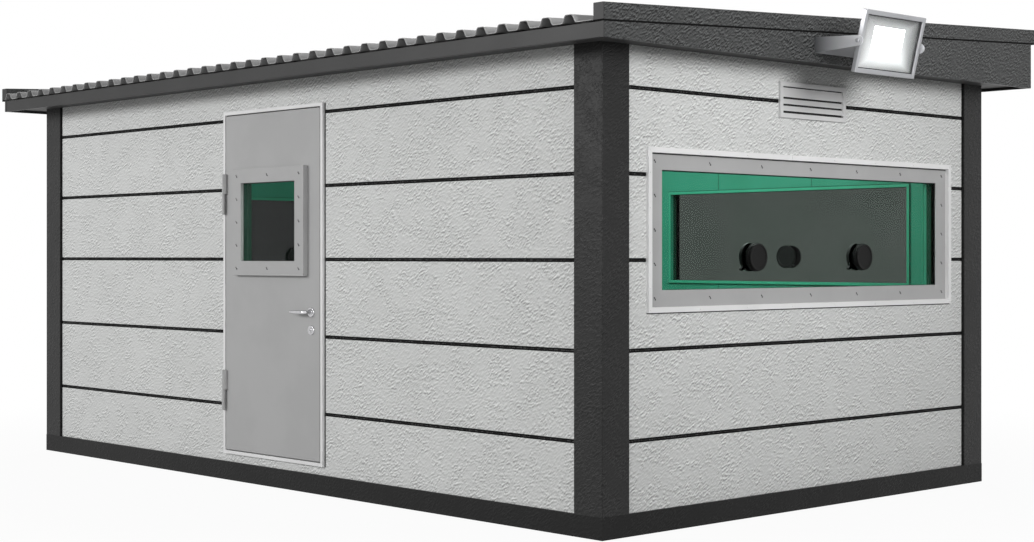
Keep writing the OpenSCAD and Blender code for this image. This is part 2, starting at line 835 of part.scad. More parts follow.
base_frame();
floor();
corner_post(1, -1);  // corner_post_front_door
corner_post(1, 1);  // corner_post_front_back
corner_post(-1, -1);  // corner_post_rear_door
corner_post(-1, 1);  // corner_post_rear_back
door_wall_side(-1);  // door_wall_left
door_wall_side(1);  // door_wall_right
door_wall_head();
door_wall_sill();
wall_core(front_end, end_core_w, end_window_w, 0);  // front_wall
wall_core(rear_end, end_core_w, end_window_w, 0);  // rear_wall
wall_core(back_side, long_core_w, back_window_w, -back_window_x);  // back_wall
cladding(door_side);  // door_cladding
cladding(front_end);  // front_cladding
cladding(rear_end);  // rear_cladding
cladding(back_side);  // back_cladding
joint_strips();
wall_lining();
ceiling_deck();
low_fascia();
high_fascia();
front_fascia();
rear_fascia();
front_verge_cap();
rear_verge_cap();
high_edge_cap();
roof_rafters();
roof_sheet();
on_wall(front_end) window_frame(end_window_w);  // front_window_frame
on_wall(front_end) window_flange(end_window_w);  // front_window_flange
on_wall(front_end) window_glass(end_window_w, [-port_offset, port_offset]);  // front_window_glass
on_wall(front_end) window_ports([-port_offset, port_offset]);  // front_window_ports
on_wall(rear_end) window_frame(end_window_w);  // rear_window_frame
on_wall(rear_end) window_flange(end_window_w);  // rear_window_flange
on_wall(rear_end) window_glass(end_window_w, [-port_offset, port_offset]);  // rear_window_glass
on_wall(rear_end) window_ports([-port_offset, port_offset]);  // rear_window_ports
on_wall(back_side) translate([-back_window_x, 0, 0]) window_frame(back_window_w);  // back_window_frame
on_wall(back_side) translate([-back_window_x, 0, 0]) window_flange(back_window_w);  // back_window_flange
on_wall(back_side) translate([-back_window_x, 0, 0]) window_glass(back_window_w, [0]);  // back_window_glass
on_wall(back_side) translate([-back_window_x, 0, 0]) window_ports([0]);  // back_window_port
vent_grille();
door_frame();
door_leaf();
door_window_frame();
door_window_glass();
frame_hinges();
leaf_hinges();
lock_roses();
lever_handle();
floodlight_bracket();
floodlight_bezel();
floodlight_glass();
floodlight_housing();
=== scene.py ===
"""Looks of a panel-built security guard booth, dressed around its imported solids.

Every new piece is worked out as whole numpy arrays in the local frame of the wall, roof or lamp that
carries it, and is then placed in the booth's own frame: metres, +Z up, door side to -Y, window end to +X.
A local frame has u along a wall (to the right, seen from outside), d inwards from the post plane, z up.
"""
import json
import logging
import math
from dataclasses import dataclass
from enum import Enum

import bpy
import numpy as np
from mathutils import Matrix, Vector


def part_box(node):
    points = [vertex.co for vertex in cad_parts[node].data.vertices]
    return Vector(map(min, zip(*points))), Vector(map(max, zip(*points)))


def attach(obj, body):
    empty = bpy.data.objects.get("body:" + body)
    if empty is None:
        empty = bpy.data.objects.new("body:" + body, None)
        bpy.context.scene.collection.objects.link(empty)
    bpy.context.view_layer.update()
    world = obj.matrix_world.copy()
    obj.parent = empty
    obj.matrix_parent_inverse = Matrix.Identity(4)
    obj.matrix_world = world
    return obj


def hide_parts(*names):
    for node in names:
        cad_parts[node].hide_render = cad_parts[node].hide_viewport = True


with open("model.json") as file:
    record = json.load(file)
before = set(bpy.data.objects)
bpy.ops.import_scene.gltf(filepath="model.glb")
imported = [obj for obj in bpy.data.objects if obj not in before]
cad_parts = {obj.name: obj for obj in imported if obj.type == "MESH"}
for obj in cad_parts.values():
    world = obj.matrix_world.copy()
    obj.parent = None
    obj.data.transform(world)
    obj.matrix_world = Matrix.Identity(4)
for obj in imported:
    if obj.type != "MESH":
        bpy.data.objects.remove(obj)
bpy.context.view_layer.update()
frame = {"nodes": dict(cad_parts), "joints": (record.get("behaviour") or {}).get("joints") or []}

log = logging.getLogger("booth")

Tree = bpy.types.NodeTree
Socket = bpy.types.NodeSocket
Node = bpy.types.Node

SMOOTH_ANGLE = math.radians(38)
MM = 0.001
CLADDING_DEPTH = 0.015
ROOM_DEPTH = 0.12
# Attribute that holds each point's share of painted light.
PAINTED_LIGHT_ATTRIBUTE = "painted_lamp_light"
# Gap between two faces that must not meet, gap beside a pane, and bed and edge radius of a flat dark strip of
# painted shade.
HAIR = 0.0002
GLASS_GAP = 0.0005
SHADE_STRIP_BED = 0.0005
SHADE_STRIP_EDGE = 0.0004
# Radius of a screw's head and of its socket, and length of its slot, a dark bar of painted shade.
SCREW_HEAD = 0.009
SCREW_SOCKET = 0.003
SCREW_SLOT = 0.018


class Body(Enum):
    """The bodies that pieces ride on."""

    BOOTH = "booth"
    DOOR = "door"
    LEVER = "lever"
    LAMP = "floodlight"


def solid_box(node: str) -> tuple[np.ndarray, np.ndarray]:
    """Gives the lowest and highest corners of a solid in the booth's frame."""
    low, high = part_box(node)
    return np.array(low), np.array(high)


def joint_place(name: str) -> np.ndarray:
    """Gives the place of a joint's axis in the booth's frame."""
    return np.array(next(joint["pos_m"] for joint in frame["joints"] if joint["name"] == name))


@dataclass(frozen=True)
class Pose:
    """A local frame: its origin, and its three axes as rows, in the booth's frame."""

    origin: tuple[float, float, float]
    axes: tuple[tuple[float, float, float], ...]

    def place(self, points: np.ndarray) -> np.ndarray:
        """Takes local points into the booth's frame: origin plus each coordinate times its axis."""
        return np.asarray(self.origin) + points @ np.asarray(self.axes)

    def local(self, points: np.ndarray) -> np.ndarray:
        """Takes points of the booth's frame into the local frame, by the transposed axes."""
        return (points - np.asarray(self.origin)) @ np.asarray(self.axes).T

    def box(self, node: str) -> tuple[np.ndarray, np.ndarray]:
        """Gives the lowest and highest corners of a solid in this local frame."""
        corners = self.local(np.array([list(corner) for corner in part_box(node)]))
        return corners.min(axis=0), corners.max(axis=0)


HALF_LENGTH, HALF_WIDTH = (float(v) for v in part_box("base_frame")[1][:2])
PLAN = Pose((0, 0, 0), ((1, 0, 0), (0, 0, 1), (0, 1, 0)))
UPRIGHT = Pose((0, 0, 0), ((0, 0, 1), (1, 0, 0), (0, 1, 0)))
ALONG_X = Pose((0, 0, 0), ((1, 0, 0), (0, 1, 0), (0, 0, 1)))
ALONG_Y = Pose((0, 0, 0), ((0, 1, 0), (1, 0, 0), (0, 0, 1)))


class Side(Enum):
    """The four walls, each by the direction along it from left to right, seen from outside."""

    DOOR = (1, 0)
    FRONT = (0, 1)
    BACK = (-1, 0)
    REAR = (0, -1)

    @property
    def pose(self) -> Pose:
        """The wall's frame, with its origin on the ground at the middle of the post plane."""
        x, y = self.value
        out = (y * HALF_LENGTH, -x * HALF_WIDTH, 0.0)
        return Pose(out, ((x, y, 0), (-y, x, 0), (0, 0, 1)))


@dataclass
class Shell:
    """One closed surface.

    Attributes:
        points: Corners, of shape (n, 3).
        faces: Arrays of corner numbers, one array for each count of corners in a face.
    """

    points: np.ndarray
    faces: list[np.ndarray]

    def outward(self) -> "Shell":
        """Turns the faces outwards.

        The signed volume is a sixth of the sum of p0 . (p1 x p2) over fan triangles; below zero the
        faces point inwards, and the order of their corners is reversed.

        Returns:
            The shell with its faces pointing outwards.
        """
        volume = 0.0
        for block in self.faces:
            fan = self.points[block]
            volume += float(np.sum(fan[:, :1] * np.cross(fan[:, 1:-1], fan[:, 2:])))
        return Shell(self.points, [block[:, ::-1] for block in self.faces]) if volume < 0 else self

    def placed(self, pose: Pose) -> "Shell":
        """Gives the shell in the booth's frame, with its faces outwards."""
        return Shell(pose.place(self.points), self.faces).outward()

    def spun(self, angle: float) -> "Shell":
        """Gives the surface turned about d, from u towards z."""
        cos, sin = math.cos(angle), math.sin(angle)
        return Shell(self.points @ np.array([(cos, 0, sin), (0, 1, 0), (-sin, 0, cos)]), self.faces)

    def scattered(self, places: np.ndarray) -> "Shell":
        """Copies the shell to many places.

        Args:
            places: Offsets of the copies, of shape (n, 3).

        Returns:
            All copies as one shell: points are place + point, corner numbers step by a copy's points.
        """
        count = len(self.points)
        points = (np.asarray(places, float)[:, None] + self.points[None]).reshape(-1, 3)
        steps = (np.arange(len(places)) * count)[:, None, None]
        return Shell(points, [(steps + block[None]).reshape(-1, block.shape[1]) for block in self.faces])

    @staticmethod
    def joined(shells: list["Shell"]) -> "Shell":
        """Puts shells together as one, with the corner numbers of each moved past those before it."""
        starts = np.cumsum([0] + [len(shell.points) for shell in shells])
        faces = [block + start for shell, start in zip(shells, starts) for block in shell.faces]
        return Shell(np.concatenate([shell.points for shell in shells]), faces)


def rounded(corners: list, radius: float | list[float], steps: int = 4, closed: bool = True) -> np.ndarray:
    """Rounds the corners of an outline.

    A corner P becomes the curve (1-t)^2 A + 2t(1-t) P + t^2 B, where A and B lie the radius away from P
    on the two edges that meet there.

    Args:
        corners: Points of the outline, of shape (k, 2).
        radius: One radius, or one for each corner; zero keeps a corner sharp.
        steps: Stretches in each rounded corner.
        closed: False for a line with two free ends, which stay where they are.

    Returns:
        Points of the rounded outline, of shape (n, 2).
    """
    points = np.asarray(corners, float)
    reach = np.broadcast_to(np.asarray(radius, float), len(points)).copy()
    if not closed:
        reach[[0, -1]] = 0.0
    before = np.roll(points, 1, axis=0) - points
    after = np.roll(points, -1, axis=0) - points
    first = points + before / np.linalg.norm(before, axis=1, keepdims=True) * reach[:, None]
    last = points + after / np.linalg.norm(after, axis=1, keepdims=True) * reach[:, None]
    t = np.linspace(0, 1, steps + 1)[None, :, None]
    curve = (1 - t) ** 2 * first[:, None] + 2 * t * (1 - t) * points[:, None] + t ** 2 * last[:, None]
    curve = curve.reshape(-1, 2)
    step = np.linalg.norm(curve - np.roll(curve, 1, axis=0), axis=1)
    keep = step > 1e-7
    if not closed:
        keep[0] = True
    return curve[keep]


def quads_between(rows: int, count: int, wrap: bool = False) -> np.ndarray:
    """Numbers the quads between closed loops.

    Point (i, j) is joined to (i, j+1), (i+1, j+1) and (i+1, j), with j counted around the loop.

    Args:
        rows: Number of loops.
        count: Points in a loop.
        wrap: True to join the last loop to the first.

    Returns:
        Corner numbers of shape (quads, 4).
    """
    i = np.arange(rows if wrap else rows - 1)[:, None]
    j = np.arange(count)[None, :]
    after, beside = (i + 1) % rows, (j + 1) % count
    corners = [i * count + j, i * count + beside, after * count + beside, after * count + j]
    return np.stack(corners, axis=-1).reshape(-1, 4)


def loft(loops: np.ndarray, wrap: bool = False) -> Shell:
    """Joins a row of closed loops by quads.

    Args:
        loops: Points of shape (loops, points in a loop, 3).
        wrap: True to join the last loop to the first; False to close both ends with a flat face.

    Returns:
        The closed shell.
    """
    rows, count, _ = loops.shape
    faces = [quads_between(rows, count, wrap)]
    if not wrap:
        ends = np.arange(count)
        faces.append(np.stack([ends[::-1], (rows - 1) * count + ends]))
    return Shell(loops.reshape(-1, 3), faces).outward()


def prism(outline: np.ndarray, start: float, end: float, far: np.ndarray | None = None) -> Shell:
    """Carries an outline of (d, z) points along u.

    Args:
        outline: The outline at the start, of shape (n, 2).
        start: Place of the start on u.
        end: Place of the end on u.
        far: The outline at the end, if it differs; points between are in straight lines.

    Returns:
        The closed shell.
    """
    far = outline if far is None else far
    loops = [np.column_stack([np.full(len(shape), u), shape]) for u, shape in ((start, outline), (end, far))]
    return loft(np.stack(loops))


def rect_loops(rect: tuple, profile: list, corner: float = 0.0, steps: int = 5) -> np.ndarray:
    """Carries a profile around a rectangle, one loop for each point of the profile.

    A profile point (o, d) makes the rectangle grown by o on every side, at depth d. With a corner radius
    R the loop turns on arcs of R + o about the corner's centre, and on a mitre once R + o is below zero.

    Args:
        rect: Middle u, middle z, width and height of the rectangle.
        profile: Points (o, d), of shape (m, 2).
        corner: Corner radius of the rectangle; zero makes mitred corners.
        steps: Stretches in each round corner.

    Returns:
        Loops of shape (m, points, 3).
    """
    u, z, width, height = rect
    profile = np.asarray(profile, float)
    signs = np.array([[1, 1], [-1, 1], [-1, -1], [1, -1]], float)[:, None]
    if corner:
        turn = (np.arange(4)[:, None] + np.linspace(0, 1, steps + 1)) * math.pi / 2
        spread = np.stack([np.cos(turn), np.sin(turn)], axis=-1)
    else:
        spread = signs
    reach = corner + profile[:, 0][:, None, None, None]
    half = np.array([width, height]) / 2 - corner
    flat = signs * (half + np.minimum(reach, 0)) + spread * np.maximum(reach, 0) + np.array([u, z])
    flat = flat.reshape(len(profile), -1, 2)
    depth = np.broadcast_to(profile[:, 1][:, None], flat.shape[:2])
    return np.stack([flat[..., 0], depth, flat[..., 1]], axis=-1)


def quarter(edge: float, face: float, into: float = 1.0, count: int = 5) -> np.ndarray:
    """Gives a quarter round from a plate's side to its face, as profile points (o, d).

    Point a is (edge (cos a - 1), face + into edge (1 - sin a)), from a = 0 on the side to a quarter turn;
    into is +1 where the plate lies deeper than its face, and -1 where its face is the deepest.
    """
    turn = np.linspace(0, math.pi / 2, count)
    return np.column_stack([edge * (np.cos(turn) - 1), face + into * edge * (1 - np.sin(turn))])


def mouth_round(edge: float, face: float, count: int = 5) -> np.ndarray:
    """Gives the quarter round of an opening in a plate, from the face into the opening."""
    return (quarter(edge, face, count=count) * np.array([-1, 1]))[::-1]


def ring(*parts: np.ndarray) -> Shell:
    """Makes a frame: all loops joined in order, and the last to the first."""
    return loft(np.concatenate(parts), wrap=True)


def slab(rect: tuple, back: float, front: float, edge: float, corner: float = 0.0) -> Shell:
    """Makes a plate with a rounded front edge.

    Args:
        rect: Middle u, middle z, width and height.
        back: Depth of the back face.
        front: Depth of the front face.
        edge: Radius of the front edge.
        corner: Radius of the plate's corners.

    Returns:
        The closed shell.
    """
    nose = quarter(edge, front, math.copysign(1.0, back - front))
    return loft(rect_loops(rect, np.vstack([[0.0, back], nose]), corner))


def revolve(profile: list, segments: int = 40) -> Shell:
    """Turns a profile about the local d axis.

    A profile point (r, d) becomes the ring (r cos a, d, r sin a). The first and last points lie on the
    axis and close as poles, each with a fan of triangles.

    Args:
        profile: Points (r, d), the first and the last with r = 0.
        segments: Points in a ring.

    Returns:
        The closed shell, about the local origin.
    """
    profile = np.asarray(profile, float)
    rings = profile[1:-1]
    turn = np.arange(segments) * 2 * math.pi / segments
    depth = np.broadcast_to(rings[:, 1:], (len(rings), segments))
    points = np.stack([rings[:, :1] * np.cos(turn), depth, rings[:, :1] * np.sin(turn)], axis=-1)
    poles = np.array([[0, profile[0, 1], 0], [0, profile[-1, 1], 0]])
    j = np.arange(segments)
    beside = (j + 1) % segments
    last_row = (len(rings) - 1) * segments
    first = np.full(segments, len(rings) * segments)
    faces = [
        quads_between(len(rings), segments),
        np.stack([first, beside, j], axis=-1),
        np.stack([first + 1, last_row + j, last_row + beside], axis=-1),
    ]
    return Shell(np.concatenate([points.reshape(-1, 3), poles]), faces).outward()


def tube(path: np.ndarray, radii: np.ndarray, side: tuple, segments: int = 20) -> Shell:
    """Carries a circle along a path.

    At each point the circle lies across the path's direction t: point + r (cos a n + sin a b), with
    b = t x side made one long and n = b x t.

    Args:
        path: Points of the path, of shape (n, 3).
        radii: Radius at each point.
        side: A direction that the path never takes.
        segments: Points in a circle.

    Returns:
        The closed shell, with flat ends.
    """
    ahead = np.gradient(path, axis=0)
    ahead /= np.linalg.norm(ahead, axis=1, keepdims=True)
    across = np.cross(ahead, np.asarray(side, float))
    across /= np.linalg.norm(across, axis=1, keepdims=True)
    up = np.cross(across, ahead)
    turn = (np.arange(segments) * 2 * math.pi / segments)[None, :, None]
    rings = np.cos(turn) * up[:, None] + np.sin(turn) * across[:, None]
    return loft(path[:, None] + np.asarray(radii)[:, None, None] * rings)


def linear(colour: str) -> tuple[float, float, float, float]:
    """Turns an sRGB hex colour into linear values with an alpha of 1."""
    parts = np.array([int(colour[i:i + 2], 16) for i in (1, 3, 5)]) / 255
    values = np.where(parts <= 0.04045, parts / 12.92, ((parts + 0.055) / 1.055) ** 2.4)
    return (*(float(v) for v in values), 1.0)


def add_node(tree: Tree, kind: str, inputs: dict | None = None, **settings) -> Node:
    """Adds a node with its settings and links.

    Args:
        tree: The node tree.
        kind: The node's type name.
        inputs: Values or sockets by input name or number; a socket is linked.
        **settings: Properties of the node.

    Returns:
        The new node.
    """
    node = tree.nodes.new(kind)
    for name, value in settings.items():
        setattr(node, name, value)
    for key, value in (inputs or {}).items():
        if isinstance(value, Socket):
            tree.links.new(value, node.inputs[key])
        else:
            node.inputs[key].default_value = value
    return node


def calc(tree: Tree, operation: str, *values: float | Socket) -> Socket:
    """Adds a Math node over values or sockets, in order, and gives its result."""
    return add_node(tree, "ShaderNodeMath", dict(enumerate(values)), operation=operation).outputs[0]


def noise(tree: Tree, place: Socket, size_mm: float, detail: float) -> Socket:
    """Adds a noise whose features have a real size, and gives its level."""
    inputs = {"Vector": place, "Scale": 1 / (size_mm * MM), "Detail": detail}
    return add_node(tree, "ShaderNodeTexNoise", inputs).outputs[0]


def blend(tree: Tree, share: Socket, first: Socket | tuple, second: Socket | tuple) -> Socket:
    """Adds a mix of two colours, the first at a share of 0 and the second at 1, and gives its result."""
    return add_node(tree, "ShaderNodeMix", {0: share, 6: first, 7: second}, data_type="RGBA").outputs[2]


def bumped(tree: Tree, level: Socket, height_mm: float) -> Node:
    """Adds a Bump node for a level from 0 to 1 that stands for a real height."""
    return add_node(tree, "ShaderNodeBump", {"Height": level, "Strength": 1.0, "Distance": height_mm * MM})


@dataclass(frozen=True)
class Finish:
    """A surface finish: a named material with a procedural pattern of real scale.

    Attributes:
        name: The material's name, for what the real one is.
        colour: Main colour, as sRGB hex.
        second: Colour that the main one drifts to in patches.
        roughness: Mean roughness.
        drift: Change of the roughness over a patch.
        patch_mm: Size of the patches.
        specular: Strength of the clear reflection; 0.5 is the plain one of the index.
    """

    name: str
    colour: str
    second: str
    roughness: float
    drift: float = 0.06
    patch_mm: float = 300.0
    specular: float = 0.5

    def settings(self) -> dict:
        """Gives the shader's plain values that are the same all over."""
        return {}

    def height(self, tree: Tree, place: Socket) -> Node | None:
        """Gives a Bump node for the surface's relief, or None for a smooth one."""
        return None

    def tint(self, tree: Tree, place: Socket, base: Socket) -> Socket:
        """Gives the colour with any marks, painted light or painted shade over it; the plain finish has none.
        """
        return base

    def material(self) -> bpy.types.Material:
        """Builds the material once.

        Noise of the patch's size in Object coordinates drives the colour and the roughness.

        Returns:
            The material.
        """
        made = bpy.data.materials.get(self.name)
        if made:
            return made
        made = bpy.data.materials.new(self.name)
        made.use_nodes = True
        tree = made.node_tree
        tree.nodes.clear()
        place = add_node(tree, "ShaderNodeTexCoord").outputs["Object"]
        cloud = add_node(
            tree, "ShaderNodeTexNoise",
            {"Vector": place, "Scale": 1 / (self.patch_mm * MM), "Detail": 3.0, "Roughness": 0.55},
        ).outputs[0]
        share = add_node(
            tree, "ShaderNodeMapRange", {"Value": cloud, "From Min": 0.35, "From Max": 0.65},
            interpolation_type="SMOOTHSTEP",
        ).outputs[0]
        base = blend(tree, share, linear(self.colour), linear(self.second))
        rough = add_node(
            tree, "ShaderNodeMapRange",
            {"Value": cloud, "To Min": self.roughness - self.drift, "To Max": self.roughness + self.drift},
        ).outputs[0]
        inputs = {
            "Base Color": self.tint(tree, place, base),
            "Roughness": rough,
            "Specular IOR Level": self.specular,
            **self.settings(),
        }
        relief = self.height(tree, place)
        if relief:
            inputs["Normal"] = relief.outputs[0]
        shader = add_node(tree, "ShaderNodeBsdfPrincipled", inputs)
        add_node(tree, "ShaderNodeOutputMaterial", {"Surface": shader.outputs[0]})
        return made


@dataclass(frozen=True)
class EmbossedPaint(Finish):
    """Polyester-coated steel sheet rolled with a stucco emboss: short wrinkles that rise to the right.

    The eye sees fine slanting strokes, stronger in some patches, each pale above and dark below: a painted
    highlight on the crests and painted shade under them, as light from above gives.

    Attributes:
        stroke_mm: Length and width of a wrinkle, drawn coarser than the real one so that it shows.
        rise: Slope of the wrinkles.
        height_mm: Height of the relief.
        bare_mm: Size of the smoother areas.
        least: Share of the emboss that is left in a smoother area.
        flank_mm: Distance from a wrinkle's painted highlight down to its painted shade.
        flank: How much the painted highlight lightens the crest and the painted shade darkens the foot.
        darkest_painted_shade: Share of the colour that is left at the darkest painted shade.
    """

    stroke_mm: tuple[float, float] = (24.0, 9.0)
    rise: float = math.radians(24)
    height_mm: float = 2.0
    bare_mm: float = 110.0
    least: float = 0.35
    flank_mm: float = 8.0
    flank: float = 0.46
    darkest_painted_shade: float = 0.1

    def level(self, tree: Tree, place: Socket, lift: float = 0.0) -> Socket:
        """Gives the level of the emboss, from 0 in a groove to 1 on a crest.

        Noise is read at (x + y, z), which runs along every wall, and is stretched along a rising line;
        its crests are cut out, and a slower noise evens them, so that some areas stay smoother.

        Args:
            tree: The material's node tree.
            place: Object coordinates.
            lift: Distance above each point at which the emboss is read.

        Returns:
            The level's socket.
        """
        long, short = (size * MM for size in self.stroke_mm)
        axes = add_node(tree, "ShaderNodeSeparateXYZ", {0: place}).outputs
        along = calc(tree, "ADD", axes[0], axes[1])
        flat = add_node(tree, "ShaderNodeCombineXYZ", {0: along, 2: axes[2]}).outputs[0]
        slant = add_node(
            tree, "ShaderNodeMapping",
            {
                "Vector": flat, "Location": (0, 0, -lift), "Rotation": (0, -self.rise, 0),
                "Scale": (long, 1.0, short),
            },
            vector_type="TEXTURE",
        ).outputs[0]
        strokes = add_node(
            tree, "ShaderNodeTexNoise",
            {"Vector": slant, "Scale": 1.0, "Detail": 1.5, "Roughness": 0.5, "Distortion": 0.6},
        ).outputs[0]
        crests = add_node(
            tree, "ShaderNodeMapRange", {"Value": strokes, "From Min": 0.42, "From Max": 0.68},
            interpolation_type="SMOOTHSTEP",
        ).outputs[0]
        bare = noise(tree, place, self.bare_mm, 2.0)
        weight = add_node(
            tree, "ShaderNodeMapRange",
            {"Value": bare, "From Min": 0.38, "From Max": 0.56, "To Min": self.least, "To Max": 1.0},
        ).outputs[0]
        return add_node(tree, "ShaderNodeMix", {0: weight, 2: 0.5, 3: crests}, data_type="FLOAT").outputs[0]

    def height(self, tree: Tree, place: Socket) -> Node:
        """Gives the emboss as relief, drawn deeper than the real one so that it shows from afar."""
        return bumped(tree, self.level(tree, place), self.height_mm)

    def tint(self, tree: Tree, place: Socket, base: Socket) -> Socket:
        """Paints a highlight on crests and shade at their feet, by the level here less the level a flank
        above.
        """
        here, above = self.level(tree, place), self.level(tree, place, self.flank_mm * MM)
        slope = calc(tree, "SUBTRACT", here, above)
        gain = calc(tree, "MULTIPLY_ADD", slope, self.flank, 1.0)
        share = calc(tree, "MAXIMUM", gain, self.darkest_painted_shade)
        return add_node(tree, "ShaderNodeVectorMath", {0: base, "Scale": share}, operation="SCALE").outputs[0]


@dataclass(frozen=True)
class SatinPaint(Finish):
    """Powder-coated steel: an even satin film with a faint orange peel, drawn coarse enough to show.

    Attributes:
        peel_mm: Size of the peel's bumps.
        height_mm: Height of the bumps.
    """

    peel_mm: float = 7.0
    height_mm: float = 0.12

    def height(self, tree: Tree, place: Socket) -> Node:
        """Gives the orange peel: fine noise of the peel's size."""
        return bumped(tree, noise(tree, place, self.peel_mm, 1.0), self.height_mm)


@dataclass(frozen=True)
class PanelPaint(SatinPaint):
    """Painted lining boards: satin green with fine dark seams between the boards.

    Attributes:
        board_mm: Width of a board.
        first_mm: Place of the first seam, along X and along Y.
        last_mm: Place past which there is no seam.
        seam_mm: Width of a seam.
        seam: Colour of a seam, as sRGB hex.
    """

    board_mm: float = 770.0
    first_mm: float = 715.0
    last_mm: float = 1900.0
    seam_mm: float = 7.0
    seam: str = "#17503B"

    def tint(self, tree: Tree, place: Socket, base: Socket) -> Socket:
        """Darkens the seams: lines at the first place plus whole boards, along X and along Y."""
        axes = add_node(tree, "ShaderNodeSeparateXYZ", {0: place}).outputs
        for along in (axes[0], axes[1]):
            inner = calc(tree, "LESS_THAN", along, self.last_mm * MM)
            past = calc(tree, "SUBTRACT", along, self.first_mm * MM)
            away = calc(tree, "PINGPONG", past, self.board_mm * MM / 2)
            line = calc(tree, "LESS_THAN", away, self.seam_mm * MM / 2)
            base = blend(tree, calc(tree, "MULTIPLY", line, inner), base, linear(self.seam))
        return base


@dataclass(frozen=True)
class Speckled(Finish):
    """Rubber or sheet flooring with fine flecks: a dull ground with lighter grains.

    Attributes:
        fleck: Colour of the flecks, as sRGB hex.
        fleck_mm: Size of the flecks.
        cover: Level of the noise at which a fleck is full; a lower one makes more flecks.
        blur: Width of a fleck's soft edge, as a part of the noise's level.
        height_mm: Height of the pebbling.
    """

    fleck: str = "#4A4A4A"
    fleck_mm: float = 9.0
    cover: float = 0.62
    blur: float = 0.08
    height_mm: float = 0.6

    def tint(self, tree: Tree, place: Socket, base: Socket) -> Socket:
        """Lightens the crests of a fine noise as flecks."""
        grain = noise(tree, place, self.fleck_mm, 2.0)
        limits = {"From Min": self.cover - self.blur, "From Max": self.cover}
        spot = add_node(tree, "ShaderNodeMapRange", {"Value": grain, **limits}).outputs[0]
        return blend(tree, spot, base, linear(self.fleck))

    def height(self, tree: Tree, place: Socket) -> Node:
        """Gives a shallow pebbling of the flecks' size."""
        return bumped(tree, noise(tree, place, self.fleck_mm, 2.0), self.height_mm)


@dataclass(frozen=True)
class Glazing(Finish):
    """Laminated float glass: clear with a green cast, or tinted; smooth, with a plain reflection.

    Attributes:
        ior: Index of refraction; an anti-reflective coat lowers it, for a weak reflection.
    """

    ior: float = 1.5

    def settings(self) -> dict:
        """Gives the glass values: full transmission and the pane's index."""
        return {"Transmission Weight": 1.0, "IOR": self.ior}


@dataclass(frozen=True)
class Metal(Finish):
    """Metal: polished and bare, or cast under a thin lacquer; the relief is the casting's grain.

    Attributes:
        grain_mm: Size of the grain.
        height_mm: Height of the grain; zero on polished metal.
        bare: Share of bare metal.
    """

    grain_mm: float = 4.0
    height_mm: float = 0.0
    bare: float = 1.0

    def settings(self) -> dict:
        """Gives the share of bare metal."""
        return {"Metallic": self.bare}

    def height(self, tree: Tree, place: Socket) -> Node | None:
        """Gives the grain as a fine noise, or None on polished metal."""
        if not self.height_mm:
            return None
        return bumped(tree, noise(tree, place, self.grain_mm, 2.0), self.height_mm)


@dataclass(frozen=True)
class Lit(Finish):
    """A lit diffuser: white and even.

    Attributes:
        strength: Strength of its light.
    """

    strength: float = 2.0

    def settings(self) -> dict:
        """Gives the emission."""
        return {"Emission Color": linear(self.colour), "Emission Strength": self.strength}


@dataclass(frozen=True)
class LampLit(Finish):
    """A satin coat with painted light: its own grey, painted paler where the lit panel's light is taken to
    fall.

    The piece carries the attribute "painted_lamp_light": 1 for full painted light and 0 for none.

    Attributes:
        lit: Colour of the full painted light, as sRGB hex.
    """

    lit: str = "#F3F3F3"

    def tint(self, tree: Tree, place: Socket, base: Socket) -> Socket:
        """Paints the light on: the coat turns to the lit colour by the attribute's share."""
        near = add_node(tree, "ShaderNodeAttribute", attribute_name=PAINTED_LIGHT_ATTRIBUTE).outputs["Fac"]
        return blend(tree, near, base, linear(self.lit))


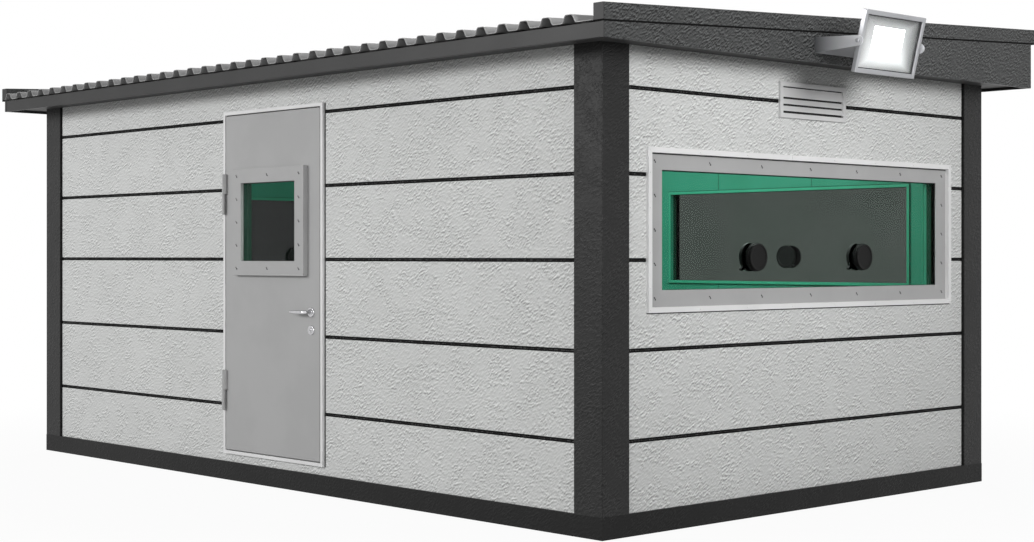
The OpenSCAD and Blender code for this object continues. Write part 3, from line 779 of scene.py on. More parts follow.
class Finishes:
    """The booth's finishes."""

    CLADDING = EmbossedPaint("stucco_embossed_light_grey_steel", "#C6C7C6", "#C3C4C3", 0.5, specular=0.25)
    TRIM = EmbossedPaint(
        "stucco_embossed_anthracite_steel", "#222222", "#1F1F1F", 0.42,
        specular=0.18, height_mm=1.5, flank=0.7,
    )
    BASE = EmbossedPaint(
        "stucco_embossed_anthracite_base_steel", "#191919", "#171717", 0.45,
        specular=0.12, height_mm=1.0, flank=0.5,
    )
    # The same anthracite steel as TRIM, painted lighter for the light from above on the eave, with stronger
    # painted highlight and shade on its relief.
    EAVE = EmbossedPaint(
        "stucco_embossed_anthracite_eave_steel", "#3E3F3F", "#3B3C3C", 0.42,
        specular=0.22, height_mm=2.5, flank=1.7, stroke_mm=(22.0, 8.5),
    )
    SMOOTH_TRIM = SatinPaint("coil_coated_anthracite_steel", "#333333", "#303030", 0.45, specular=0.2)
    SOFFIT = SatinPaint("anthracite_soffit_sheet", "#353535", "#313131", 0.55, specular=0.2)
    # Black rubber of the wall joints, and also the painted shade under the verge caps.
    STRIP = Speckled("rubber_joint_strip_and_painted_shade", "#070707", "#0A0A0A", 0.8, specular=0.08, fleck="#121212")
    BEAD = Speckled(
        "pebbled_rubber_bead", "#101010", "#141414", 0.75, specular=0.1, fleck="#505050", cover=0.6
    )
    CORE = Speckled("panel_core_foam", "#2B2B2B", "#262626", 0.9, fleck="#3A3A3A")
    LINING = PanelPaint("green_painted_lining_board", "#2F7D66", "#2C7861", 0.5, specular=0.15)
    LINER = SatinPaint("green_coated_opening_liner", "#1F3F33", "#1C3A2F", 0.5, specular=0.2)
    CASING = SatinPaint("green_coated_window_casing", "#338C70", "#30876B", 0.45, specular=0.2)
    # Dark green of the casing's joint, and painted shade in the windows' reveals.
    SHADED = SatinPaint("dark_green_joint_and_painted_reveal_shade", "#123A2B", "#103527", 0.6, specular=0.1)
    FLOORING = Speckled("flecked_vinyl_flooring", "#77736C", "#6E6A63", 0.6, fleck="#8E8A82", fleck_mm=6.0)
    ROOF = SatinPaint("coil_coated_grey_roof_steel", "#A6A6A6", "#9A9A9A", 0.42, height_mm=0.25, peel_mm=30.0)
    PRIMER = SatinPaint("zinc_primed_steel", "#8A8A86", "#7E7E7A", 0.6)
    WHITE = SatinPaint("white_powder_coated_steel", "#DCDCDC", "#D7D7D7", 0.4, specular=0.3)
    GREY = SatinPaint("grey_powder_coated_steel", "#A3A3A3", "#9F9F9F", 0.42, specular=0.3)
    CLEAR = Glazing("clear_laminated_glass", "#E4F2EC", "#DEEFE7", 0.0, drift=0.0, ior=1.08)
    DOOR_PANE = Glazing("coated_door_glass", "#E4F2EC", "#DEEFE7", 0.0, drift=0.0, ior=1.08)
    TINTED = Glazing("tinted_laminated_glass", "#505250", "#4D4F4D", 0.0, drift=0.0, ior=1.04)
    DARK = Glazing("dark_tinted_laminated_glass", "#322E30", "#2F2B2D", 0.0, drift=0.0, ior=1.25)
    LENS = Glazing("toughened_lamp_glass", "#FCFDFD", "#FAFCFC", 0.02, drift=0.01, ior=1.12)
    POLYMER = SatinPaint("moulded_black_polymer", "#0B0B0B", "#0F0F0F", 0.55, specular=0.12, peel_mm=3.0)
    VENT = SatinPaint("moulded_light_grey_polymer", "#C2C2C2", "#BCBCBC", 0.45, peel_mm=5.0)
    # A near-black sheet of painted shade, standing for the dark space behind the vent's blades.
    DARK_VOID = SatinPaint("painted_shade_sheet_behind_vent", "#101010", "#0C0C0C", 0.8)
    CHROME = Metal("polished_chrome_plate", "#C4C4C6", "#BABABC", 0.1, drift=0.04, patch_mm=20.0)
    CAST = Metal(
        "lacquered_die_cast_aluminium", "#A9AAAD", "#9FA0A3", 0.38, grain_mm=3.0, height_mm=0.15, bare=0.5
    )
    # The bracket's and the reflector's grey coats carry painted light, paler towards the lamp.
    BRACKET = LampLit("grey_coated_lamp_bracket", "#4C4D4F", "#47484A", 0.4, lit="#D2D3D6")
    REFLECTOR = LampLit("satin_lamp_reflector", "#3A3A3A", "#363636", 0.4, lit="#F4F4F4")
    LAMP = Lit("led_diffuser", "#FFFFFF", "#FDFDFD", 0.5, strength=1.6)
    # Black rubber of the real seals, also used as painted shade for screw and key slots and the dark strips
    # by frames.
    RUBBER_AND_SHADE = Speckled("epdm_seal_and_painted_shade", "#161616", "#1C1C1C", 0.7, fleck="#262626", fleck_mm=4.0)


def add_piece(
    name: str,
    shells: list[Shell],
    finish: Finish,
    body: Body = Body.BOOTH,
    replaces: tuple[str, ...] = (),
) -> bpy.types.Object:
    """Makes a piece and sets it on its body.

    Args:
        name: The piece's name.
        shells: Its closed surfaces, in the booth's frame.
        finish: Its finish.
        body: The body that it rides on.
        replaces: Solids that it stands for.

    Returns:
        The new object, at the origin, with its place in its mesh.
    """
    shell = Shell.joined(shells)
    mesh = bpy.data.meshes.new(name)
    mesh.from_pydata(shell.points.tolist(), [], [face for block in shell.faces for face in block.tolist()])
    mesh.shade_smooth()
    mesh.set_sharp_from_angle(angle=SMOOTH_ANGLE)
    mesh.materials.append(finish.material())
    piece = bpy.data.objects.new(name, mesh)
    bpy.context.scene.collection.objects.link(piece)
    evened = piece.modifiers.new("even_normals", "WEIGHTED_NORMAL")
    evened.keep_sharp = True
    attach(piece, body.value)
    if replaces:
        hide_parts(*replaces)
    log.info("%s: %d points, %s on %s", name, len(shell.points), finish.name, body.value)
    return piece


def placed(shells: list[Shell], pose: Pose) -> list[Shell]:
    """Gives shells of a local frame in the booth's frame."""
    return [shell.placed(pose) for shell in shells]


def paint(finish: Finish, *nodes: str) -> None:
    """Gives solids that keep their shape a better material."""
    for node in nodes:
        mesh = frame["nodes"][node].data
        mesh.materials.clear()
        mesh.materials.append(finish.material())
        log.info("%s: solid kept, %s", node, finish.name)


@dataclass
class WallSkin:
    """The cladding of one wall: steel courses with rolled edges beside each joint.

    Attributes:
        side: The wall.
        opening: The solid whose outline is left free.
        head_course: Height of the highest course.
        top_course: Height of each of the two courses below it.
        mid_course: Height of each of the two middle courses.
        strip: Height of a joint.
        roll: Radius of a course's rolled edges.
        strip_recess: Depth of the joint strips behind the courses' faces.
        bead_r: Radius of the bead along a strip.
        bead_sunk: Depth of the bead's flat side in the strip.
        post_gap: Open joint between a course and a post.
    """

    side: Side
    opening: str
    head_course: float = 0.204
    top_course: float = 0.416
    mid_course: float = 0.436
    strip: float = 0.019
    roll: float = 0.004
    strip_recess: float = 0.003
    bead_r: float = 0.0026
    bead_sunk: float = 0.001
    post_gap: float = 0.009

    @property
    def node(self) -> str:
        """Name of the solid that the skin stands for."""
        return f"{self.side.name.lower()}_cladding"

    def courses(self, foot: float, top: float) -> list[tuple[float, float, bool, bool]]:
        """Lists the courses.

        Args:
            foot: Level of the lowest course's foot.
            top: Level of the highest course's head.

        Returns:
            For each course its foot, its head, and whether each of them is at a joint.
        """
        heights = [self.head_course, *[self.top_course] * 2, *[self.mid_course] * 2]
        joints = (top - np.cumsum(heights))[::-1]
        feet = [foot, *(joints + self.strip / 2)]
        heads = [*(joints - self.strip / 2), top]
        return [(a, b, a > foot, b < top) for a, b in zip(feet, heads)]

    def course(self, span: tuple, levels: tuple, rolls: tuple[bool, bool], depth: tuple) -> Shell:
        """Carries a course's section, round where its foot or head is rolled, along a span of u."""
        (foot, head), (front, back) = levels, depth
        radii = [self.roll if rolled else 0.0 for rolled in (*rolls, False, False)]
        return prism(rounded([(front, foot), (front, head), (back, head), (back, foot)], radii), *span)

    def bead(self, z: float, depth: float) -> np.ndarray:
        """Gives a bead's section: a half circle of rubber, its flat side sunk in the strip's face."""
        turn = np.linspace(-math.pi / 2, math.pi / 2, 7)
        flat = depth + self.bead_sunk
        return np.column_stack([flat - self.bead_r * np.cos(turn), z + self.bead_r * np.sin(turn)])

    def build(self) -> None:
        """Builds the courses, split beside, under and over the opening, and the beads in their joints."""
        pose = self.side.pose
        low, high = pose.box(self.node)
        low[0] += self.post_gap
        high[0] -= self.post_gap
        depth = (low[1], high[1])
        cut_low, cut_high = pose.box(self.opening)
        whole, within = (low[0], high[0]), (cut_low[0], cut_high[0])
        beside = ((low[0], cut_low[0]), (cut_high[0], high[0]))
        shells, beads = [], []
        for foot, head, at_foot, at_head in self.courses(low[2], high[2]):
            clear = head <= cut_low[2] or foot >= cut_high[2]
            for span in (whole,) if clear else beside:
                shells.append(self.course(span, (foot, head), (at_foot, at_head), depth))
            if not clear and foot < cut_low[2]:
                shells.append(self.course(within, (foot, cut_low[2]), (at_foot, False), depth))
            if not clear and head > cut_high[2]:
                shells.append(self.course(within, (cut_high[2], head), (False, at_head), depth))
            if at_head:
                middle = head + self.strip / 2
                section = self.bead(middle, low[1] + self.strip_recess)
                spans = beside if cut_low[2] < middle < cut_high[2] else (whole,)
                beads += [prism(section, *span) for span in spans]
        skin = placed(shells, pose)
        add_piece(f"{self.node}_courses", skin, Finishes.CLADDING, replaces=(self.node,))
        name = f"{self.side.name.lower()}_joint_beads"
        add_piece(name, placed(beads, pose), Finishes.BEAD)


@dataclass
class Trim:
    """The dark steel trim: corner posts and base band.

    Attributes:
        bend: Outer bend radius of a corner post.
        edge: Radius of the free edges.
        post_t: Thickness of a post's plate.
    """

    bend: float = 0.006
    edge: float = 0.002
    post_t: float = 0.03

    def post(self, sx: int, sy: int, low: np.ndarray, high: np.ndarray) -> Shell:
        """Makes one post: an angle section, round at its bend, carried upwards.

        Args:
            sx: Sign of the corner's X.
            sy: Sign of the corner's Y.
            low: Lowest corner of its solid.
            high: Highest corner of its solid.

        Returns:
            The closed shell, in the booth's frame.
        """
        width, t = high[0] - low[0], self.post_t
        steps = np.array([(0, 0), (width, 0), (width, t), (t, t), (t, width), (0, width)])
        corner = np.array([sx * HALF_LENGTH, sy * HALF_WIDTH])
        outline = corner - np.array([sx, sy]) * steps
        radii = [self.bend, self.edge, 0, 0, 0, self.edge]
        return prism(rounded(outline, radii, steps=6), low[2], high[2]).placed(UPRIGHT)

    def build(self) -> None:
        """Builds the four posts and the base band."""
        for end, sx in (("front", 1), ("rear", -1)):
            for flank, sy in (("door", -1), ("back", 1)):
                node = f"corner_post_{end}_{flank}"
                cover = self.post(sx, sy, *solid_box(node))
                add_piece(f"{node}_cover", [cover], Finishes.TRIM, replaces=(node,))
        low, high = solid_box("base_frame")
        inner = np.array(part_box("floor")[1])[0] - HALF_LENGTH
        section = rounded(
            [(inner, low[2]), (0, low[2]), (0, high[2]), (inner, high[2])], [0, self.edge, self.edge, 0]
        )
        band = ring(rect_loops((0, 0, 2 * HALF_LENGTH, 2 * HALF_WIDTH), section)).placed(PLAN)
        add_piece("base_band", [band], Finishes.BASE, replaces=("base_frame",))


@dataclass
class Roof:
    """The mono-pitch roof: fascias, caps and the ribbed sheet with its screws.

    Attributes:
        edge: Radius of the folded edges.
        cap_h: Height of the caps.
        shade_strip_h: Height of the dark strip of painted shade under a cap.
        shade_strip_proud: How far that strip stands out of the cap's faces.
        plate_t: Thickness of the plain plates on the low ends of the wedge-shaped fascias and their caps.
        rib_pitch: Spacing of the ribs.
        rib_h: Height of a rib.
        rib_foot: Width of a rib at its foot.
        rib_top: Width of a rib at its top.
        first_rib: Distance from the sheet's front edge to the first rib's middle.
        bend: Bend radius of the sheet.
        sheet_t: Thickness of the sheet.
        lift: Height of the pans above the roof line.
        ribs_per_rafter: Ribs from one row of screws to the next.
        screw_gap: Spacing of the screws in a row.
        first_screw: Distance from the sheet's low edge to the first screw.
        screw_r: Radius of a screw's head.
        washer_r: Radius of its washer.
    """

    edge: float = 0.003
    cap_h: float = 0.087
    shade_strip_h: float = 0.009
    plate_t: float = 0.0015
    shade_strip_proud: float = 0.0008
    rib_pitch: float = 0.151
    rib_h: float = 0.038
    rib_foot: float = 0.085
    rib_top: float = 0.044
    first_rib: float = 0.147
    bend: float = 0.007
    sheet_t: float = 0.0025
    lift: float = 0.008
    ribs_per_rafter: int = 7
    screw_gap: float = 0.45
    first_screw: float = 0.12
    screw_r: float = 0.0055
    washer_r: float = 0.0085

    def __post_init__(self) -> None:
        """Reads the roof line, z = level + slope (y - low edge), from the fascias' boxes."""
        low, front = (np.array(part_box(node)[1]) for node in ("low_fascia", "front_fascia"))
        self.slope = (front[2] - low[2]) / (front[1] - low[1])
        self.low_y = -front[1]
        self.low_z = front[2] - self.slope * 2 * front[1]

    def line(self, y: float) -> float:
        """Gives the level of the roof line at a place across the booth."""
        return self.low_z + self.slope * (y - self.low_y)

    def bar(self, x0: float, x1: float, z0: float, z1: float) -> np.ndarray:
        """Gives a section with rounded edges."""
        return rounded([(x0, z0), (x1, z0), (x1, z1), (x0, z1)], self.edge)

    def build_fascias(self) -> None:
        """Builds the two level boards and the two wedge-shaped ones."""
        for node in ("low_fascia", "high_fascia"):
            low, high = solid_box(node)
            board = prism(self.bar(low[1], high[1], low[2], high[2]), low[0], high[0]).placed(ALONG_X)
            add_piece(f"{node}_board", [board], Finishes.SMOOTH_TRIM, replaces=(node,))
        for node in ("front_fascia", "rear_fascia"):
            low, high = solid_box(node)
            ends = [self.bar(low[0], high[0], low[2], self.line(y)) for y in (low[1], high[1])]
            board = prism(ends[0], low[1], high[1], ends[1]).placed(ALONG_Y)
            add_piece(f"{node}_board", [board], Finishes.EAVE, replaces=(node,))

    def build_caps(self) -> None:
        """Builds the verge caps along the slope, the dark strips of painted shade under them and the cap on
        the high edge.
        """
        shade_strips = []
        for node in ("front_verge_cap", "rear_verge_cap"):
            low, high = solid_box(node)
            lift = low[2] - self.line(low[1])
            feet = [self.line(y) + lift for y in (low[1], high[1])]
            ends = [self.bar(low[0], high[0], foot, foot + self.cap_h) for foot in feet]
            cap = prism(ends[0], low[1], high[1], ends[1]).placed(ALONG_Y)
            add_piece(f"{node}_fold", [cap], Finishes.EAVE, replaces=(node,))
            shade_strips.append(prism(*self.seal(low, high, lift)).placed(ALONG_Y))
        # The strips under the caps are painted shade for the gap between cap and fascia.
        add_piece("verge_shade_strips", shade_strips, Finishes.STRIP)
        low, high = solid_box("high_edge_cap")
        y0, y1 = low[1], high[1]
        z0, z1 = (self.line(y) + high[2] - self.line(high[1]) for y in (y0, y1))
        section = rounded([(y0, z0 - self.cap_h), (y1, z1 - self.cap_h), (y1, z1), (y0, z0)], self.edge)
        cap = prism(section, low[0], high[0]).placed(ALONG_X)
        add_piece("high_edge_cap_fold", [cap], Finishes.EAVE, replaces=("high_edge_cap",))

    def build_end_plates(self) -> None:
        """Builds the plain plates that close the low ends of the wedge-shaped fascias and their caps."""
        plates = []
        for node in ("front_fascia", "rear_fascia", "front_verge_cap", "rear_verge_cap"):
            low, high = solid_box(node)
            top = self.line(low[1]) if "fascia" in node else low[2] + self.cap_h
            foot = low[2] if "fascia" in node else low[2] + self.shade_strip_h
            plate = self.bar(low[0], high[0], foot, top)
            plates.append(prism(plate, low[1] - self.plate_t, low[1] + self.plate_t).placed(ALONG_Y))
        add_piece("verge_end_plates", plates, Finishes.SMOOTH_TRIM)

    def seal(self, low: np.ndarray, high: np.ndarray, lift: float) -> tuple:
        """Gives the dark strip of painted shade under a verge cap: a thin bar, a little proud of the cap's
        faces.

        Args:
            low: Lowest corner of the cap's solid.
            high: Highest corner of the cap's solid.
            lift: Height of the cap's foot above the roof line.

        Returns:
            The section at the low end, both ends' places along Y and the section at the high end.
        """
        proud = self.shade_strip_proud
        starts = (low[1] - proud, high[1] + proud)
        feet = [self.line(y) + lift for y in starts]
        ends = [self.bar(low[0] - proud, high[0] + proud, foot - proud, foot + self.shade_strip_h) for foot in feet]
        return ends[0], *starts, ends[1]

    @property
    def pose(self) -> Pose:
        """The roof's frame: u along X, d up the slope, z square to the roof."""
        angle = math.atan(self.slope)
        cos, sin = math.cos(angle), math.sin(angle)
        return Pose((0, self.low_y, self.low_z), ((1, 0, 0), (0, cos, sin), (0, -sin, cos)))

    def ribs(self, low: float, high: float) -> np.ndarray:
        """Gives the ribs' middles, from the front edge of the sheet backwards."""
        count = int((high - low - self.first_rib - self.rib_foot / 2) / self.rib_pitch) + 1
        return high - self.first_rib - self.rib_pitch * np.arange(count)

    def build_sheet(self) -> None:
        """Builds the sheet, a rounded trapezoid line along u carried up the slope, and its rows of screws."""
        pose = self.pose
        low, high = solid_box("roof_sheet")
        middles = self.ribs(low[0], high[0])
        sides = np.array([-self.rib_foot / 2, -self.rib_top / 2, self.rib_top / 2, self.rib_foot / 2])
        rises = np.array([0, self.rib_h, self.rib_h, 0])
        u = (middles[::-1, None] + sides).ravel()
        z = np.tile(rises, len(middles))
        line = np.column_stack([np.r_[low[0], u, high[0]], np.r_[0, z, 0] + self.lift])
        line = rounded(line, self.bend, steps=3, closed=False)
        ahead = np.gradient(line, axis=0)
        across = np.column_stack([-ahead[:, 1], ahead[:, 0]]) / np.linalg.norm(ahead, axis=1, keepdims=True)
        upper = line + across * self.sheet_t
        drip = pose.local(low)[1]
        end = pose.local(high)[1]
        loops = np.stack([
            np.column_stack([edge[:, 0], np.full(len(edge), d), edge[:, 1]])
            for edge, d in ((line, drip), (line, end), (upper, end), (upper, drip))
        ], axis=1)
        sheet = loft(loops).placed(pose)
        add_piece("roof_sheet_ribbed", [sheet], Finishes.ROOF, replaces=("roof_sheet",))
        head, washer = self.screw_r, self.washer_r
        screw = revolve([(0, 0.007), (head, 0.006), (head, 0.002), (washer, 0.0015), (washer, 0), (0, 0)], 12)
        screw.points = screw.points[:, [0, 2, 1]]
        rows = middles[::self.ribs_per_rafter] + self.rib_pitch / 2
        count = int((end - drip) / self.screw_gap)
        steps = drip + self.first_screw + self.screw_gap * np.arange(count)
        grid = np.stack(np.meshgrid(rows, steps, indexing="ij"), axis=-1).reshape(-1, 2)
        places = np.column_stack([grid, np.full(len(grid), self.lift + self.sheet_t)])
        add_piece("roof_screws", [screw.scattered(places).placed(pose)], Finishes.CAST)

    def build(self) -> None:
        """Builds the roof's pieces in order."""
        self.build_fascias()
        self.build_caps()
        self.build_end_plates()
        self.build_sheet()


def countersunk(radius: float, socket: float) -> Shell:
    """Makes a screw head: a low dome around a deep socket, turned about d, on the plane d = 0.

    Args:
        radius: Radius of the head.
        socket: Radius of the socket.

    Returns:
        The closed shell.
    """
    rise = radius * 0.28
    return revolve([
        (0, -rise * 0.1), (socket, -rise * 0.1), (socket * 1.05, -rise), (radius * 0.8, -rise * 0.7),
        (radius, 0), (0, 0.0)
    ], 16)


def screw_slot(length: float, width: float) -> Shell:
    """Makes a screw head's slot as a dark bar of painted shade, turned down to the right, just proud of the
    head.
    """
    return slab((0, 0, length, width), 0.0, -0.0029, 0.0008, 0.001).spun(math.radians(-52))


def add_screws(name: str, places: np.ndarray, pose: Pose, slot_w: float, body: Body = Body.BOOTH) -> None:
    """Adds screws as two pieces, the heads and dark bars of painted shade that stand for their slots.

    Args:
        name: First part of the pieces' names.
        places: Places of the screws, of shape (n, 3).
        pose: The local frame of the places.
        slot_w: Width of a slot.
        body: The body that they ride on.
    """
    heads = countersunk(SCREW_HEAD, SCREW_SOCKET).scattered(places)
    add_piece(f"{name}_screws", [heads.placed(pose)], Finishes.GREY, body)
    # The slots are painted shade: dark bars on the heads, not cut into them.
    slots = screw_slot(SCREW_SLOT, slot_w).scattered(places)
    add_piece(f"{name}_screw_slots", [slots.placed(pose)], Finishes.RUBBER_AND_SHADE, body)


def rivet(radius: float) -> Shell:
    """Makes a domed rivet head, a quarter ellipse turned about d, on the plane d = 0."""
    turn = np.linspace(0, math.pi / 2, 6)
    dome = np.column_stack([radius * np.sin(turn), -0.45 * radius * np.cos(turn)])
    return revolve(np.vstack([dome, [(0, 0)]]), 14)


@dataclass
class WindowUnit:
    """A fixed window: white frame with rivets, grey clamping flange with screws, armoured pane, ports.

    Attributes:
        name: Name of the window, as its solids have it.
        side: The wall.
        ports: Places of the ports from the window's middle, along u.
        glass: Finish of the pane.
        flange_side: Width of the flange at the sides.
        flange_top: Width of the flange at top and bottom.
        edge: Radius of the frame's edges.
        rivet_gap: Spacing of the rivets at top and bottom.
        rivet_r: Radius of a rivet.
        rivet_rows: Places of the rivets at the sides, as shares of the height.
        screw_gap: Spacing of the screws at top and bottom.
        screw_side: Distance of the screws at the sides from the opening.
        screw_top: Distance of the screws at top and bottom from the opening.
        slot_w: Width of a screw's slot.
        port_rise: Height of a port's middle over the opening's foot.
        shade_strip_h: Height of the dark strips of painted shade.
        shade_strip_proud: Rise of those strips over what they lie on.
        casing_w: Width of the casing in the room.
        casing_t: Thickness of the casing.
        casing_edge: Radius of the casing's edges.
        joint_w: Width of the joint around the casing.
        joint_t: Thickness of that joint.
        reveal_shade_t: Thickness of the dark sheet of painted shade in the reveal.
        reveal_shade_share: Share of the reveal's depth, from the pane, that the painted shade lines.
    """

    name: str
    side: Side
    ports: tuple[float, ...]
    glass: Finish
    flange_side: float = 0.097
    flange_top: float = 0.082
    edge: float = 0.002
    rivet_gap: float = 0.375
    rivet_r: float = 0.006
    rivet_rows: tuple[float, ...] = (0.14, 0.36, 0.64, 0.86)
    screw_gap: float = 0.415
    screw_side: float = 0.055
    screw_top: float = 0.041
    slot_w: float = 0.006
    port_rise: float = 0.162
    shade_strip_h: float = 0.0055
    shade_strip_proud: float = 0.0015
    casing_w: float = 0.018
    casing_t: float = 0.0045
    casing_edge: float = 0.001
    joint_w: float = 0.004
    joint_t: float = 0.001
    reveal_shade_t: float = 0.0012
    reveal_shade_share: float = 0.47

    def __post_init__(self) -> None:
        """Reads the frame's and the flange's outlines from their solids."""
        self.pose = self.side.pose
        self.frame_box = self.pose.box(f"{self.name}_frame")
        self.flange_box = self.pose.box(f"{self.name}_flange")
        low, high = self.flange_box
        self.middle = ((low[0] + high[0]) / 2, (low[2] + high[2]) / 2)
        self.open_w = high[0] - low[0] - 2 * self.flange_side
        self.open_h = high[2] - low[2] - 2 * self.flange_top

    def around(
        self, half_u: float, half_z: float, count_u: int, levels: np.ndarray, depth: float
    ) -> np.ndarray:
        """Gives places around a rectangle: even steps along top and bottom, given levels at the sides.

        Args:
            half_u: Half of the rectangle's width.
            half_z: Half of its height.
            count_u: Places along top and bottom, corners included.
            levels: Places at the sides, without corners, from the middle.
            depth: Depth of all places.

        Returns:
            Places of shape (n, 3).
        """
        row = np.linspace(-half_u, half_u, count_u)
        u = np.r_[row, row, np.full(len(levels), -half_u), np.full(len(levels), half_u)]
        z = np.r_[np.full(count_u, -half_z), np.full(count_u, half_z), levels, levels]
        return np.column_stack([u + self.middle[0], np.full(len(u), depth), z + self.middle[1]])

    def build_frame(self) -> None:
        """Builds the white frame, a rounded bar around the flange, and its rivets."""
        low, high = self.frame_box
        inner_low, inner_high = self.flange_box
        bar = inner_low[0] - low[0]
        clear = (*self.middle, inner_high[0] - inner_low[0], inner_high[2] - inner_low[2])
        corners = [(bar, low[1]), (0, low[1]), (0, high[1]), (bar, high[1])]
        bars = ring(rect_loops(clear, rounded(corners, [self.edge, self.edge, 0, 0])))
        add_piece(
            f"{self.name}_white_frame", [bars.placed(self.pose)], Finishes.WHITE,
            replaces=(f"{self.name}_frame",),
        )
        half_u, half_z = (clear[2] + bar) / 2, (clear[3] + bar) / 2
        count = round(2 * half_u / self.rivet_gap) + 1
        levels = half_z - np.array(self.rivet_rows) * 2 * half_z
        rivets = rivet(self.rivet_r).scattered(self.around(half_u, half_z, count, levels, low[1]))
        add_piece(f"{self.name}_rivets", [rivets.placed(self.pose)], Finishes.WHITE)

    def build_flange(self) -> None:
        """Builds the flange, a plate with rounded edges around the opening, and its screws."""
        low, high = self.flange_box
        opening = (*self.middle, self.open_w, self.open_h)
        outside = (*self.middle, high[0] - low[0], high[2] - low[2])
        face, back = low[1], high[1]
        plate = ring(
            rect_loops(outside, [(0, back), (0, face)]),
            rect_loops(opening, mouth_round(self.edge, face, 4)),
            rect_loops(opening, [(0, back)]),
        )
        add_piece(
            f"{self.name}_clamp", [plate.placed(self.pose)], Finishes.GREY,
            replaces=(f"{self.name}_flange",),
        )
        half_u, half_z = self.open_w / 2 + self.screw_side, self.open_h / 2 + self.screw_top
        count = round(2 * half_u / self.screw_gap) + 1
        levels = np.linspace(-half_z, half_z, 5)[1:-1]
        add_screws(self.name, self.around(half_u, half_z, count, levels, face), self.pose, self.slot_w)

    def build_shade_strips(self) -> None:
        """Builds two dark strips of painted shade, one on the flange under the frame's head and one on the
        cladding below.
        """
        low, high = self.flange_box
        foot, half = self.frame_box[0], self.frame_box[1][0] - self.middle[0]
        rows = (
            (low[1], high[2], (low[0], high[0])),
            (CLADDING_DEPTH, foot[2], (foot[0], foot[0] + 2 * half)),
        )
        shells = []
        for depth, top, span in rows:
            proud, bed, under = depth - self.shade_strip_proud, depth + SHADE_STRIP_BED, top - self.shade_strip_h
            section = rounded([(bed, under), (proud, under), (proud, top), (bed, top)], SHADE_STRIP_EDGE)
            shells.append(prism(section, *span))
        # The strips are painted shade: the dark gap under the frame's head and the shadow below the frame.
        add_piece(f"{self.name}_seals", placed(shells, self.pose), Finishes.RUBBER_AND_SHADE)

    def build_casing(self) -> None:
        """Builds the green casing around the opening in the room, its dark joint, and a dark sheet of painted
        shade in the reveal.
        """
        opening = (*self.middle, self.open_w, self.open_h)
        wall, width = ROOM_DEPTH - HAIR, self.casing_w
        face = ROOM_DEPTH + self.casing_t
        section = rounded([(0, wall), (width, wall), (width, face), (0, face)], self.casing_edge)
        casing = ring(rect_loops(opening, section))
        add_piece(f"{self.name}_casing", [casing.placed(self.pose)], Finishes.CASING)
        brim, rise = width + self.joint_w, wall + self.joint_t
        joint = [(width, wall), (brim, wall), (brim, rise), (width, rise)]
        # A dark sheet lining the reveal from the pane inwards: painted shade.
        pane = self.pose.box(f"{self.name}_glass")[1][1] + GLASS_GAP
        end = pane + self.reveal_shade_share * (face - pane)
        board = [(0, pane), (-self.reveal_shade_t, pane), (-self.reveal_shade_t, end), (0, end)]
        shells = [ring(rect_loops(opening, section)) for section in (joint, board)]
        add_piece(f"{self.name}_reveal", placed(shells, self.pose), Finishes.SHADED)

    def build_ports(self) -> None:
        """Builds the ports: a stepped, grooved cap, its neck and an inner flange, turned about d."""
        node = f"{self.name}_ports" if len(self.ports) > 1 else f"{self.name}_port"
        cap, end = self.pose.box(node)[0][1], self.pose.box(node)[1][1]
        pane_low, pane_high = self.pose.box(f"{self.name}_glass")
        seat, inner = pane_low[1], pane_high[1]
        depth = seat - cap
        face = [
            (0, 0.004), (0.056, 0.004), (0.059, 0.0035), (0.0605, 0.001), (0.063, 0), (0.068, 0),
            (0.0705, 0.001), (0.0715, 0.003),
        ]
        grooves = [
            (0.0715, 0.25), (0.068, 0.29), (0.068, 0.42), (0.0735, 0.46), (0.074, 0.5), (0.074, 0.68),
            (0.0705, 0.72), (0.0705, 0.82), (0.074, 0.86),
        ]
        outline = [
            *((radius, cap + back) for radius, back in face),
            *((radius, cap + share * depth) for radius, share in grooves),
            (0.074, seat), (0.05, seat), (0.05, inner), (0.074, inner),
            (0.074, end - 0.003), (0.071, end), (0.058, end), (0.055, end - 0.004), (0, end - 0.004),
        ]
        sill = self.middle[1] - self.open_h / 2
        places = np.array([(self.middle[0] + u, 0, sill + self.port_rise) for u in self.ports])
        body = revolve(outline, 56).scattered(places)
        catch = slab((0.0825, 0, 0.024, 0.016), inner, end, 0.003, 0.004).spun(math.radians(225))
        caps = placed([body, catch.scattered(places)], self.pose)
        add_piece(f"{node}_caps", caps, Finishes.POLYMER, replaces=(node,))

    def build(self) -> None:
        """Builds the window's pieces and gives the pane its glass."""
        self.build_frame()
        self.build_flange()
        self.build_shade_strips()
        self.build_casing()
        self.build_ports()
        paint(self.glass, f"{self.name}_glass")


